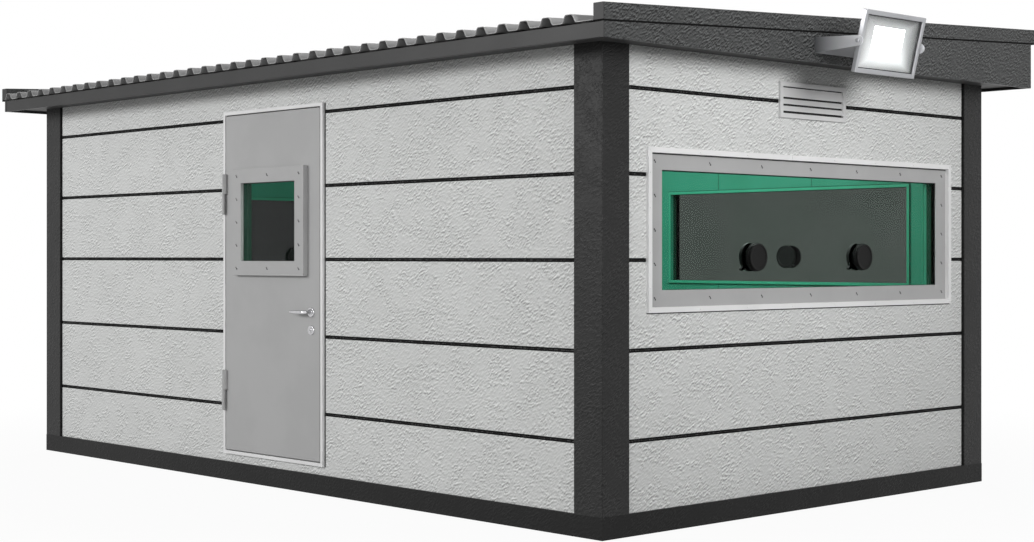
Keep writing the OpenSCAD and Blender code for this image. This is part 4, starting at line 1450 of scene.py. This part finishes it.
@dataclass
class VentGrille:
    """The louvred vent over the front window: a moulded frame with sloping blades over a dark sheet of
    painted shade.

    Attributes:
        border: Width of the frame.
        edge: Radius of the frame's edges.
        blades: Number of blades.
        first: Gap under the lowest blade.
        pitch: Spacing of the blades.
        lip: Height of a blade's front lip.
        climb: Rise of a blade behind its lip.
        shade: Gap over the highest blade.
        lip_back: Depth of the blades' lips behind the frame's face.
        lip_t: Thickness of a blade at its lip.
        blade_end: Distance of the blades' high ends from the wall.
        blade_t: Thickness of a blade at its high end.
        shade_sheet_t: Thickness of the dark sheet of painted shade.
        shade_sheet_edge: Radius of that sheet's edge.
    """

    border: float = 0.025
    edge: float = 0.003
    blades: int = 3
    first: float = 0.012
    pitch: float = 0.0365
    lip: float = 0.0065
    climb: float = 0.0205
    shade: float = 0.006
    lip_back: float = 0.002
    lip_t: float = 0.004
    blade_end: float = 0.0035
    blade_t: float = 0.003
    shade_sheet_t: float = 0.001
    shade_sheet_edge: float = 0.0003

    def build(self) -> None:
        """Builds frame, blades and the dark sheet of painted shade behind them.

        A blade's section runs from the frame's back, high, down to a lip at its front, low, so that each
        blade covers the foot of the gap above it.
        """
        pose = Side.FRONT.pose
        low, high = pose.box("vent_grille")
        rect = ((low[0] + high[0]) / 2, (low[2] + high[2]) / 2, high[0] - low[0], high[2] - low[2])
        face, wall, border = low[1], high[1], self.border
        corners = [(0, wall), (0, face), (-border, face), (-border, wall)]
        shells = [ring(rect_loops(rect, rounded(corners, [0, self.edge, self.edge, 0])))]
        foot, head = low[2] + border, high[2] - border
        front, back = face + self.lip_back, wall - self.blade_end
        for i in range(self.blades):
            z = foot + self.first + i * self.pitch
            top = head - self.shade if i == self.blades - 1 else z + self.lip + self.climb
            blade = [
                (front, z), (front, z + self.lip), (back, top), (back + self.blade_t, top),
                (front + self.lip_t, z),
            ]
            shells.append(prism(np.array(blade), low[0] + border, high[0] - border))
        add_piece("vent_louvre", placed(shells, pose), Finishes.VENT, replaces=("vent_grille",))
        # A near-black sheet behind the blades: painted shade for the space there.
        within = (*rect[:2], rect[2] - border, rect[3] - border)
        mesh = slab(within, wall - HAIR, wall - HAIR - self.shade_sheet_t, self.shade_sheet_edge)
        add_piece("vent_shade_sheet", [mesh.placed(pose)], Finishes.DARK_VOID)


@dataclass
class Door:
    """The steel door: frame, leaf, box-framed window, hinges, lever and roses.

    Attributes:
        face: Face width of the frame.
        stop: Width of the frame's stop.
        stop_depth: Depth of the stop behind the post plane.
        edge: Radius of the folded edges.
        light_border: Border of the box frame.
        barrel: Radius of a hinge barrel.
        barrel_end: Radius of a barrel's rounded ends.
        knuckle: Height of a knuckle.
        wing: Width of the wing that a knuckle is welded to.
        grip: Radius of the lever's grip.
        neck: Radius of the lever's neck.
        elbow: Bend radius of the lever.
        sag: Bend of the grip towards the leaf, at its end.
        slim: Share of its radius that the grip loses towards its end.
        rose: Radius of a rose.
        plug_h: Rise of the lock's plug.
        key_drop: Distance from the lever's axis down to the lock's.
        key_edge: Radius of the key slots' edges.
        core_out: How far the lever's core reaches out of the leaf.
        slot_w: Width of a screw's slot.
        bead: Width of the seal around the pane.
        bead_edge: Radius of that seal's edges.
        liner_t: Thickness of the liner in the leaf's window opening.
        liner_w: Width of the liner's rim on the leaf's back.
        liner_edge: Radius of the liner's edges.
        shade_strip_w: Width of the dark strips of painted shade beside the frame.
        shade_strip_proud: Rise of those strips over the cladding.
    """

    face: float = 0.02
    stop: float = 0.015
    stop_depth: float = 0.056
    edge: float = 0.0025
    light_border: float = 0.085
    barrel: float = 0.0105
    barrel_end: float = 0.003
    knuckle: float = 0.12
    wing: float = 0.019
    grip: float = 0.0105
    neck: float = 0.009
    elbow: float = 0.016
    sag: float = 0.004
    slim: float = 0.35
    rose: float = 0.028
    plug_h: float = 0.0105
    key_drop: float = 0.102
    key_edge: float = 0.0002
    core_out: float = 0.02
    slot_w: float = 0.0065
    bead: float = 0.0025
    bead_edge: float = 0.0006
    liner_t: float = 0.0015
    liner_w: float = 0.012
    liner_edge: float = 0.0008
    shade_strip_w: float = 0.009
    shade_strip_proud: float = 0.0015

    def __post_init__(self) -> None:
        """Takes the frame of the door's wall."""
        self.pose = Side.DOOR.pose

    def outline(self, node: str) -> tuple[tuple[float, float, float, float], float, float]:
        """Gives a solid's rectangle on the wall, and its front and back depth."""
        low, high = self.pose.box(node)
        rect = ((low[0] + high[0]) / 2, (low[2] + high[2]) / 2, high[0] - low[0], high[2] - low[2])
        return rect, low[1], high[1]

    def build_frame(self) -> None:
        """Builds the white frame, a stepped section carried around the doorway, and dark strips of painted
        shade beside it.
        """
        rect, front, back = self.outline("door_frame")
        face, stop = -self.face, -self.face - self.stop
        section = rounded([
            (0, back), (0, front), (face, front), (face, self.stop_depth), (stop, self.stop_depth),
            (stop, back),
        ], [0, self.edge, self.edge, 0, self.edge, self.edge])
        jambs = ring(rect_loops(rect, section)).placed(self.pose)
        add_piece("door_white_frame", [jambs], Finishes.WHITE, replaces=("door_frame",))
        # Dark strips beside the frame: painted shade for the gap between frame and cladding.
        bed, proud = CLADDING_DEPTH + SHADE_STRIP_BED, CLADDING_DEPTH - self.shade_strip_proud
        reach = (rect[2] + self.shade_strip_w) / 2
        shade_strips = [
            slab((rect[0] + side * reach, rect[1], self.shade_strip_w, rect[3]), bed, proud, SHADE_STRIP_EDGE)
            for side in (-1, 1)
        ]
        add_piece("door_frame_shade_strips", placed(shade_strips, self.pose), Finishes.RUBBER_AND_SHADE)

    def build_leaf(self) -> None:
        """Builds the leaf with its opening, the box frame with its screws, and what lines the opening."""
        rect, front, back = self.outline("door_leaf")
        light, light_front, light_back = self.outline("door_window_frame")
        pane, pane_front, pane_back = self.outline("door_window_glass")
        opening = (*light[:2], light[2] - 2 * self.light_border, light[3] - 2 * self.light_border)
        leaf = ring(
            rect_loops(rect, quarter(self.edge, back, -1.0)[::-1]),
            rect_loops(rect, quarter(self.edge, front)),
            rect_loops(pane, [(0, front), (0, pane_back)]),
            rect_loops(opening, [(0, pane_back), (0, back)]),
        ).placed(self.pose)
        add_piece("door_leaf_steel", [leaf], Finishes.GREY, Body.DOOR, ("door_leaf",))
        box = ring(
            rect_loops(light, [(0, light_back)]),
            rect_loops(light, quarter(self.edge, light_front)),
            rect_loops(opening, mouth_round(self.edge, light_front)),
            rect_loops(opening, [(0, pane_front)]),
            rect_loops(pane, [(0, pane_front), (0, light_back)]),
        ).placed(self.pose)
        add_piece("door_light_box", [box], Finishes.GREY, Body.DOOR, ("door_window_frame",))
        half_u, half_z = (light[2] - self.light_border) / 2, (light[3] - self.light_border) / 2
        columns, rows = np.linspace(-half_u, half_u, 3), np.linspace(-half_z, half_z, 5)
        grid = np.stack(np.meshgrid(columns, rows), axis=-1)
        rim = np.ones(grid.shape[:2], bool)
        rim[1:-1, 1:-1] = False
        spots = grid[rim] + np.array(light[:2])
        places = np.column_stack([spots[:, 0], np.full(len(spots), light_front), spots[:, 1]])
        add_screws("door_light", places, self.pose, self.slot_w, Body.DOOR)
        self.build_light_linings(opening, pane_front, pane_back, back)
        paint(Finishes.DOOR_PANE, "door_window_glass")

    def build_light_linings(self, opening: tuple, pane_front: float, pane_back: float, back: float) -> None:
        """Builds the pane's seal, the liner behind the pane and the spacer inside it.

        Args:
            opening: Rectangle of the window's opening.
            pane_front: Depth of the pane's front.
            pane_back: Depth of the pane's back.
            back: Depth of the leaf's back.
        """
        lip, rim, behind = self.liner_t, self.liner_w, pane_back + GLASS_GAP
        corners = [(0, pane_front), (0, pane_front - self.bead), (-self.bead, pane_front)]
        seal = ring(rect_loops(opening, rounded(corners, self.bead_edge)))
        add_piece("door_light_seal", [seal.placed(self.pose)], Finishes.RUBBER_AND_SHADE, Body.DOOR)
        section = rounded([
            (0, behind), (-lip, behind), (-lip, back + lip), (rim, back + lip), (rim, back + HAIR),
            (0, back + HAIR),
        ], [0, self.liner_edge, self.liner_edge, self.liner_edge, 0, 0])
        liner = ring(rect_loops(opening, section))
        add_piece("door_light_liner", [liner.placed(self.pose)], Finishes.LINER, Body.DOOR)
        bar = [(0, pane_front + lip), (-lip, pane_front + lip), (-lip, pane_back - lip), (0, pane_back - lip)]
        spacer = ring(rect_loops(opening, bar))
        add_piece("door_light_spacer", [spacer.placed(self.pose)], Finishes.LINER, Body.DOOR)

    def build_hinges(self) -> None:
        """Builds the hinges: turned knuckles with rounded ends, each on a welded wing."""
        axis_u, axis_d, _ = self.pose.local(joint_place("door_hinge"))
        nose = self.barrel_end
        turn = np.linspace(0, math.pi / 2, 5)
        end = np.column_stack([self.barrel - nose * (1 - np.sin(turn)), nose * (1 - np.cos(turn))])
        start = np.vstack([(0, 0), end])
        finish = np.column_stack([start[::-1, 0], self.knuckle - start[::-1, 1]])
        knuckle = revolve(np.vstack([start, finish]), 28)
        knuckle.points = knuckle.points[:, [0, 2, 1]]
        for node, body, sign in (("frame_hinges", Body.BOOTH, -1), ("leaf_hinges", Body.DOOR, 1)):
            low, high = self.pose.box(node)
            feet = (low[2], high[2] - self.knuckle) if body is Body.DOOR else (low[2], low[2] + self.spread())
            seat = high[1]
            shells = [knuckle.scattered(np.array([(axis_u, axis_d, z) for z in feet]))]
            for z in feet:
                rect = (axis_u + sign * self.wing / 2, z + self.knuckle / 2, self.wing, self.knuckle)
                shells.append(slab(rect, seat, axis_d - 0.002, 0.002, 0.003))
            pieces = placed(shells, self.pose)
            add_piece(f"{node}_knuckles", pieces, Finishes.GREY, body, (node,))

    def spread(self) -> float:
        """Gives the distance from the lower hinge to the upper one."""
        low, high = self.pose.box("leaf_hinges")
        return high[2] - self.knuckle - low[2]

    def lever_path(self, centre: np.ndarray, stand: float, length: float, out: float) -> np.ndarray:
        """Gives the lever's line: straight out, a quarter turn of the elbow's radius, then along -u.

        Args:
            centre: Point on the leaf's face.
            stand: Distance of the grip from the face.
            length: Length of the grip from the axis.
            out: -1 out of the booth, +1 into it.

        Returns:
            Points of shape (n, 3).
        """
        turn = np.linspace(0, math.pi / 2, 9)
        straight = np.linspace(0, stand - self.elbow, 4)[:-1]
        along = np.linspace(self.elbow, length, 14)[1:]
        sag = self.sag * (along / length) ** 2
        u = np.r_[np.zeros(3), -self.elbow * (1 - np.cos(turn)), -along]
        d = np.r_[straight, stand - self.elbow * (1 - np.sin(turn)), stand - sag]
        return centre + np.column_stack([u, out * d, np.zeros(len(u))])

    def build_lock(self) -> None:
        """Builds the lever with a grip on each face, the roses and the key slots, as dark bars of painted
        shade.
        """
        low, high = self.pose.box("lever_handle")
        _, leaf_front, leaf_back = self.outline("door_leaf")
        axis = self.pose.local(joint_place("lever_turn"))
        drop = axis[2] - self.key_drop
        length = axis[0] - low[0]
        stand = leaf_front - low[1] - self.neck
        rose = [
            (0, 0.0085), (0.013, 0.0085), (0.014, 0.0075), (0.022, 0.0085), (0.0255, 0.0075),
            (self.rose - 0.0005, 0.004), (self.rose, 0), (0, 0),
        ]
        plug = [(0, self.plug_h), (0.0075, self.plug_h), (0.0085, 0.0095), (0.0085, 0), (0, 0)]
        plug_tail = (axis[0], drop - 0.008, 0.0095, 0.019)
        slot = (axis[0], drop + 0.003, 0.002, 0.0095)
        ease = np.linspace(0, 1, 5) ** 2
        levers, roses, slots = [], [], []
        for face, out in ((leaf_front, -1.0), (leaf_back, 1.0)):
            path = self.lever_path(np.array([axis[0], face, axis[2]]), stand, length, out)
            radii = np.full(len(path), self.grip)
            radii[:4] = self.neck
            radii[-5:] = self.grip * (1 - self.slim * ease)
            levers.append(tube(path, radii, (0, 0, 1)))
            for profile, segments, levels in ((rose, 44, (axis[2], drop)), (plug, 28, (drop + 0.004,))):
                turned = revolve([(radius, out * rise) for radius, rise in profile], segments)
                roses.append(turned.scattered(np.array([(axis[0], face, z) for z in levels])))
            roses.append(slab(plug_tail, face, face + out * self.plug_h, 0.001, 0.004))
            # The key slot is painted shade: a thin dark bar just proud of the plug.
            slots.append(slab(slot, face + out * 0.009, face + out * 0.0108, self.key_edge))
        depths = [leaf_front - self.core_out, leaf_back + self.core_out]
        core = np.column_stack([np.full(2, axis[0]), depths, np.full(2, axis[2])])
        levers.append(tube(core, np.full(2, self.neck * 0.9), (0, 0, 1)))
        for name, shells, finish, body, replaces in (
            ("lever_set", levers, Finishes.CHROME, Body.LEVER, ("lever_handle",)),
            ("lock_rose_set", roses, Finishes.CHROME, Body.DOOR, ("lock_roses",)),
            ("key_slots", slots, Finishes.RUBBER_AND_SHADE, Body.DOOR, ()),
        ):
            add_piece(name, placed(shells, self.pose), finish, body, replaces)

    def build(self) -> None:
        """Builds the door's pieces in order."""
        self.build_frame()
        self.build_leaf()
        self.build_hinges()
        self.build_lock()


@dataclass
class Floodlight:
    """The floodlight: bezel, lens, reflector, lit panel, finned housing and U-bracket.

    Attributes:
        width: Width of the bezel.
        height: Height of the bezel.
        border: Border of the bezel.
        nose: Depth of the bezel in front of the pivots.
        bezel_t: Depth of the bezel.
        rebate: Depth of the lens behind the bezel's face.
        housing_t: Depth of bezel and housing.
        taper: How far the housing's sides draw in towards its back.
        lens_lap: Overlap of the lens behind the bezel.
        tilt: Downward tilt at rest.
        corner: Radius of the bezel's corners.
        edge: Radius of the bezel's outer edge.
        panel_w: Width of the lit panel.
        panel_h: Height of the lit panel.
        panel_depth: Depth of the lit panel behind the pivots.
        fins: Number of cooling fins.
        arm_gap: Gap between the bezel and an arm of the bracket.
        arm_end: Radius of an arm's round end.
        steel: Thickness of the bracket.
        pin: Radius of a pivot's pin.
        bolt: Radius of the bolt on one pivot.
        knob: Radius of the knob on the other.
        yoke_bolts: Places of the bracket's bolts from its middle, across and up.
    """

    width: float = 0.525
    height: float = 0.322
    border: float = 0.024
    nose: float = 0.009
    bezel_t: float = 0.024
    rebate: float = 0.0101
    housing_t: float = 0.102
    taper: float = 0.075
    lens_lap: float = 0.01
    tilt: float = math.radians(14)
    corner: float = 0.006
    edge: float = 0.003
    panel_w: float = 0.27
    panel_h: float = 0.168
    panel_depth: float = 0.018
    fins: int = 11
    arm_gap: float = 0.005
    arm_end: float = 0.026
    steel: float = 0.006
    pin: float = 0.007
    bolt: float = 0.0115
    knob: float = 0.022
    yoke_bolts: tuple[float, float] = (0.18, 0.02)

    def __post_init__(self) -> None:
        """Puts the lamp's frame on its pivots: u along +Y, d into the lamp, z up its face."""
        self.origin = joint_place("floodlight_tilt")
        cos, sin = math.cos(self.tilt), math.sin(self.tilt)
        self.pose = Pose(tuple(self.origin), ((0, 1, 0), (-cos, 0, sin), (sin, 0, cos)))

    def build_bezel(self) -> None:
        """Builds the bezel, a rounded section around the lens, with the pivots' bolt and knob."""
        front, back = -self.nose, self.bezel_t - self.nose
        face = (0, 0, self.width, self.height)
        lip = -self.border
        seat = lip + self.lens_lap
        section = rounded([
            (0, back), (0, front), (lip + 0.005, front), (lip, front + 0.004), (lip, front + 0.01),
            (seat, front + self.rebate), (seat, back),
        ], [0.002, self.edge, 0.002, 0.001, 0, 0, 0])
        bezel = ring(rect_loops(face, section, self.corner))
        arm = self.width / 2 + self.arm_gap + self.steel
        reach = self.pose.box("floodlight_bezel")[1][0]
        head = reach - arm - 0.002
        length = arm - self.width / 2 + 0.012
        stub = revolve([(0, 0), (self.pin, 0), (self.pin, length), (0, length)], 24)
        shells = [bezel.placed(self.pose)]
        for side in (-1, 1):
            axes = ((0, 0, 1), (0, side, 0), (1, 0, 0))
            inner = Pose(tuple(self.origin + np.array([0, side * (self.width / 2 - 0.01), 0])), axes)
            outer = Pose(tuple(self.origin + np.array([0, side * (arm + 0.002), 0])), axes)
            radius = self.knob if side > 0 else self.bolt
            bolt = revolve([
                (0, 0), (radius - 0.004, 0), (radius - 0.0005, 0.001), (radius, 0.003),
                (radius, head - 0.003), (radius - 0.0025, head), (0.004, head), (0.003, head - 0.002),
                (0, head - 0.002),
            ], 28)
            shells += [stub.placed(inner), bolt.placed(outer)]
        add_piece("floodlight_frame", shells, Finishes.CAST, Body.LAMP, ("floodlight_bezel",))

    def build_housing(self) -> None:
        """Builds the hollow housing with its back plate and cooling fins."""
        cut = 2 * (self.border - self.lens_lap) + 0.001
        lens = (0, 0, self.width - cut, self.height - cut)
        mouth, shoulder = 0.0065, self.bezel_t - self.nose
        back = self.housing_t - self.nose
        share = self.taper * self.height / self.width
        rear = (0, 0, lens[2] - 2 * self.taper, lens[3] - 2 * share)
        inner = (0, 0, lens[2] - 0.02, lens[3] - 0.02)
        tail = [(0, back - 0.012), (-0.004, back - 0.008), (-0.012, back - 0.008), (-0.012, back - 0.016)]
        shell = ring(
            rect_loops(inner, [(0, mouth)], 0.006),
            rect_loops(lens, [(0, mouth), (0, shoulder)], 0.008),
            rect_loops(rear, tail, 0.012),
            rect_loops(inner, [(-0.004, shoulder)], 0.006),
        )
        plate = slab((0, 0, rear[2] - 0.01, rear[3] - 0.01), back - 0.016, back - 0.008, 0.003, 0.01)
        fins = np.linspace(-rear[2] / 2 + 0.02, rear[2] / 2 - 0.02, self.fins)
        fin = slab((0, 0, 0.005, rear[3] - 0.03), back - 0.009, back, 0.0015, 0.002)
        rows = fin.scattered(np.column_stack([fins, np.zeros(self.fins), np.zeros(self.fins)]))
        shells = placed([shell, plate, rows], self.pose)
        add_piece(
            "floodlight_body", shells, Finishes.CAST, Body.LAMP, ("floodlight_housing",)
        )
        self.build_reflector(inner, mouth)

    def build_reflector(self, inner: tuple, mouth: float) -> None:
        """Builds the reflector's sloping sides, the lens's seal and the lit panel.

        Its share of painted light is 0.12 - 0.15 z - 0.12 u, kept from 0 to 0.5, at the rim, and 0.8 - 0.45
        z, kept from 0.5 to 1, beside the panel, with u and z from -1 to 1 over the mouth: painted light, full
        beside the panel and weaker at the rim, where it is strongest low down.

        Args:
            inner: Rectangle of the housing's mouth.
            mouth: Depth of the mouth.
        """
        deep = self.panel_depth
        panel = (0, 0, self.panel_w, self.panel_h)
        funnel = ring(
            rect_loops(inner, [(-0.0005, mouth + 0.0005)], 0.006),
            rect_loops(panel, [(0, deep), (0.003, deep + 0.002)], 0.006),
            rect_loops(inner, [(-0.0005, mouth + 0.004)], 0.006),
        )
        reflector = add_piece(
            "floodlight_reflector", [funnel.placed(self.pose)], Finishes.REFLECTOR, Body.LAMP
        )
        u, _, z = np.split(funnel.points / np.array([inner[2] / 2, 1.0, inner[3] / 2]), 3, axis=1)
        # Painted light on the reflector: weak at the rim and paler on its lower side, strong beside the
        # panel.
        lip = np.clip(0.12 - 0.15 * z - 0.12 * u, 0.0, 0.5).ravel()
        near = np.clip(0.8 - 0.45 * z, 0.5, 1.0).ravel()
        beside = np.repeat([False, True, True, False], len(funnel.points) // 4)
        self.write_painted_light(reflector, np.where(beside, near, lip))
        frame_in = (0, 0, self.width - 2 * self.border, self.height - 2 * self.border)
        sill = self.rebate - self.nose
        brim = sill - 0.0016
        seal = ring(rect_loops(frame_in, [(0.002, sill), (0.002, brim), (-0.004, brim), (-0.004, sill)]))
        add_piece("floodlight_lens_seal", [seal.placed(self.pose)], Finishes.RUBBER_AND_SHADE, Body.LAMP)
        lit = (0, 0, self.panel_w + 0.002, self.panel_h + 0.002)
        glow = slab(lit, deep + 0.006, deep + 0.001, 0.001, 0.004)
        add_piece("floodlight_led_panel", [glow.placed(self.pose)], Finishes.LAMP, Body.LAMP)
        paint(Finishes.LENS, "floodlight_glass")

    def write_painted_light(self, piece: bpy.types.Object, share: np.ndarray) -> None:
        """Writes each point's share of painted light on a piece."""
        layer = piece.data.attributes.new(PAINTED_LIGHT_ATTRIBUTE, "FLOAT", "POINT")
        layer.data.foreach_set("value", share.astype(np.float32))

    def arm(self, low: np.ndarray, high: np.ndarray) -> np.ndarray:
        """Gives an arm's outline: straight sides from the plate to a half circle about the pivot."""
        turn = np.linspace(-math.pi / 2, math.pi / 2, 15)
        tip = self.origin[[0, 2]] + self.arm_end * np.column_stack([np.cos(turn), np.sin(turn)])
        return np.vstack([(low[0] + 0.001, low[2]), tip, (low[0] + 0.001, high[2])])

    def build_bracket(self) -> None:
        """Builds the bracket: a plate bent into two tapering arms, with painted light on them, and the bolts
        that hold it.
        """
        low, high = solid_box("floodlight_bracket")
        outline = self.arm(low, high)
        arms = [
            prism(outline, y, y + self.steel).placed(ALONG_Y) for y in (low[1], high[1] - self.steel)
        ]
        facing = Pose((low[0], 0, 0), ((0, 1, 0), (-1, 0, 0), (0, 0, 1)))
        rect = (0, (low[2] + high[2]) / 2, high[1] - low[1], high[2] - low[2])
        plate = slab(rect, 0, -self.steel, 0.0015, 0.004).placed(facing)
        yoke = add_piece(
            "floodlight_yoke", [*arms, plate], Finishes.BRACKET,
            replaces=("floodlight_bracket",),
        )
        # Painted light on the bracket: the arms paler from the plate out to the pivots, the plate paler at
        # its middle.
        along = [(arm.points[:, 0] - low[0]) / (self.origin[0] - low[0]) for arm in arms]
        across = 1.0 - 0.4 * np.abs(plate.points[:, 1]) / high[1]
        self.write_painted_light(yoke, np.clip(np.concatenate([*along, across]), 0.0, 1.0))
        bolt = revolve([
            (0, -0.008), (0.0085, -0.008), (0.0095, -0.007), (0.0095, -0.0015), (0.013, -0.0014),
            (0.013, 0), (0, 0),
        ], 12)
        across, up = self.yoke_bolts
        spots = [(u, -self.steel, rect[1] + dz) for u in (-across, across) for dz in (-up, up)]
        bolts = bolt.scattered(np.array(spots)).placed(facing)
        add_piece("floodlight_yoke_bolts", [bolts], Finishes.CAST)

    def build(self) -> None:
        """Builds the floodlight's pieces in order."""
        self.build_bezel()
        self.build_housing()
        self.build_bracket()


@dataclass(frozen=True)
class SoftLamp:
    """A soft rectangular lamp.

    Attributes:
        name: The lamp's name.
        place: Where it stands.
        aim: Point that it faces.
        size: Its width and height.
        power: Its power in watts.
        spread: Angle over which its grid lets light out, in degrees.
    """

    name: str
    place: tuple[float, float, float]
    aim: tuple[float, float, float]
    size: tuple[float, float]
    power: float
    spread: float = 180.0

    def build(self) -> None:
        """Adds the lamp to the scene."""
        data = bpy.data.lights.new(self.name, "AREA")
        data.spread = math.radians(self.spread)
        data.shape = "RECTANGLE"
        data.size, data.size_y = self.size
        data.energy = self.power
        lamp = bpy.data.objects.new(self.name, data)
        lamp.location = self.place
        away = Vector(self.aim) - Vector(self.place)
        lamp.rotation_euler = away.to_track_quat("-Z", "Y").to_euler()
        bpy.context.scene.collection.objects.link(lamp)


@dataclass
class Studio:
    """Floor, soft light and camera.

    Attributes:
        eye: Place of the camera.
        heading: Turn of the level camera about Z.
        lens: Focal length for a sensor of 36 mm.
        shift: Shift of the view, as a share of the image's width.
        floor_colour: Colour of the floor near the booth, as sRGB hex.
        floor_half: Half of the floor's width.
        floor_glow: Share of white in the floor near the booth.
        floor_fade: Distances from the booth's middle over which the floor turns white.
        sky: Strength of the sky's light; the sky itself is seen as white.
    """

    LAMPS = (
        SoftLamp("key", (9.5, -1.5, 3.7), (2.66, 0.0, 2.7), (3.2, 2.6), 95.0, 84.0),
        SoftLamp("door_fill", (-5.0, -12.5, 5.0), (0.0, 0.0, 1.4), (4.0, 3.0), 780.0),
        SoftLamp("corner_fill", (6.0, -11.5, 4.0), (1.5, 0.0, 1.4), (3.0, 3.0), 270.0),
        SoftLamp("back_fill", (-9.0, 9.0, 6.0), (-0.5, 0.5, 1.2), (4.0, 3.0), 620.0),
        SoftLamp("room", (1.0, 0.2, 2.3), (1.0, 0.2, 0.0), (2.6, 2.0), 85.0),
        SoftLamp("room_rear", (-1.5, 0.2, 2.3), (-1.5, 0.2, 0.0), (1.6, 2.0), 8.0),
    )

    eye: tuple[float, float, float] = (8.411, -7.689, 1.3485)
    heading: float = math.radians(47.54)
    lens: float = 61.47
    shift: tuple[float, float] = (0.0358, -0.015)
    floor_colour: str = "#A4A4A4"
    floor_half: float = 40.0
    floor_glow: float = 0.95
    floor_fade: tuple[float, float] = (2.5, 6.5)
    sky: float = 0.35

    def build_camera(self) -> None:
        """Sets a level camera at the photograph's viewing angle."""
        data = bpy.data.cameras.new("camera")
        data.lens, data.sensor_width, data.sensor_fit = self.lens, 36.0, "HORIZONTAL"
        data.shift_x, data.shift_y = self.shift
        data.clip_end = 200.0
        camera = bpy.data.objects.new("camera", data)
        camera.location = self.eye
        camera.rotation_euler = (math.pi / 2, 0, self.heading)
        bpy.context.scene.collection.objects.link(camera)
        bpy.context.scene.camera = camera

    def seen(self, tree: Tree) -> Socket:
        """Gives 1 on rays from the camera, from mirrors and through glass, and 0 on others."""
        path = add_node(tree, "ShaderNodeLightPath").outputs
        some = calc(tree, "MAXIMUM", path["Is Camera Ray"], path["Is Glossy Ray"])
        return calc(tree, "MAXIMUM", some, path["Is Transmission Ray"])

    def build_world(self) -> None:
        """Makes an even sky that lights softly and is seen as white."""
        world = bpy.data.worlds.new("studio")
        world.use_nodes = True
        tree = world.node_tree
        tree.nodes.clear()
        strength = add_node(
            tree, "ShaderNodeMapRange", {"Value": self.seen(tree), "To Min": self.sky, "To Max": 1.0}
        ).outputs[0]
        sky = add_node(tree, "ShaderNodeBackground", {"Color": (1, 1, 1, 1), "Strength": strength})
        add_node(tree, "ShaderNodeOutputWorld", {"Surface": sky.outputs[0]})
        bpy.context.scene.world = world

    def build_floor(self) -> None:
        """Lays a pale floor that keeps the shadow near the booth and turns white far from it."""
        half = self.floor_half
        grid = np.linspace(-half, half, 9)
        x, y = np.meshgrid(grid, grid, indexing="ij")
        points = np.stack([x, y, np.zeros_like(x)], axis=-1).reshape(-1, 3)
        i = np.arange(8)[:, None] * 9 + np.arange(8)[None, :]
        faces = np.stack([i, i + 9, i + 10, i + 1], axis=-1).reshape(-1, 4)
        mesh = bpy.data.meshes.new("studio_floor")
        mesh.from_pydata(points.tolist(), [], faces.tolist())
        made = bpy.data.materials.new("studio_floor_paper")
        made.use_nodes = True
        tree = made.node_tree
        tree.nodes.clear()
        place = add_node(tree, "ShaderNodeTexCoord").outputs["Object"]
        far = add_node(tree, "ShaderNodeVectorMath", {0: place}, operation="LENGTH").outputs["Value"]
        near, off = self.floor_fade
        fade = add_node(
            tree, "ShaderNodeMapRange",
            {"Value": far, "From Min": near, "From Max": off, "To Min": self.floor_glow, "To Max": 1.0},
            interpolation_type="SMOOTHSTEP",
        ).outputs[0]
        share = calc(tree, "MULTIPLY", fade, self.seen(tree))
        paper = add_node(
            tree, "ShaderNodeBsdfPrincipled", {"Base Color": linear(self.floor_colour), "Roughness": 0.9}
        ).outputs[0]
        white = add_node(tree, "ShaderNodeEmission", {"Color": (1, 1, 1, 1), "Strength": 1.0}).outputs[0]
        both = add_node(tree, "ShaderNodeMixShader", {0: share, 1: paper, 2: white}).outputs[0]
        add_node(tree, "ShaderNodeOutputMaterial", {"Surface": both})
        mesh.materials.append(made)
        floor = bpy.data.objects.new("studio_floor", mesh)
        bpy.context.scene.collection.objects.link(floor)

    def build(self) -> None:
        """Sets up camera, floor, sky and lamps."""
        self.build_camera()
        self.build_world()
        self.build_floor()
        for lamp in self.LAMPS:
            lamp.build()
        bpy.context.scene.view_settings.view_transform = "Standard"


def main() -> None:
    """Builds the booth's sub-assemblies in order, then the studio."""
    logging.basicConfig(level=logging.INFO, format="%(name)s %(message)s")
    Studio().build()
    for side, opening in (
        (Side.DOOR, "door_frame"), (Side.FRONT, "front_window_frame"),
        (Side.REAR, "rear_window_frame"), (Side.BACK, "back_window_frame"),
    ):
        WallSkin(side, opening).build()
    Trim().build()
    Roof().build()
    for name, side, ports, glass in (
        ("front_window", Side.FRONT, (-0.464, 0.464), Finishes.CLEAR),
        ("rear_window", Side.REAR, (-0.464, 0.464), Finishes.DARK),
        ("back_window", Side.BACK, (0.0,), Finishes.TINTED),
    ):
        WindowUnit(name, side, ports, glass).build()
    VentGrille().build()
    Door().build()
    Floodlight().build()
    paint(Finishes.STRIP, "joint_strips")
    paint(Finishes.LINING, "wall_lining")
    paint(Finishes.FLOORING, "floor")
    paint(Finishes.SOFFIT, "ceiling_deck")
    paint(Finishes.PRIMER, "roof_rafters")
    paint(
        Finishes.CORE, "door_wall_left", "door_wall_right", "door_wall_head", "door_wall_sill", "front_wall",
        "rear_wall", "back_wall",
    )


if __name__ == "__main__":
    main()
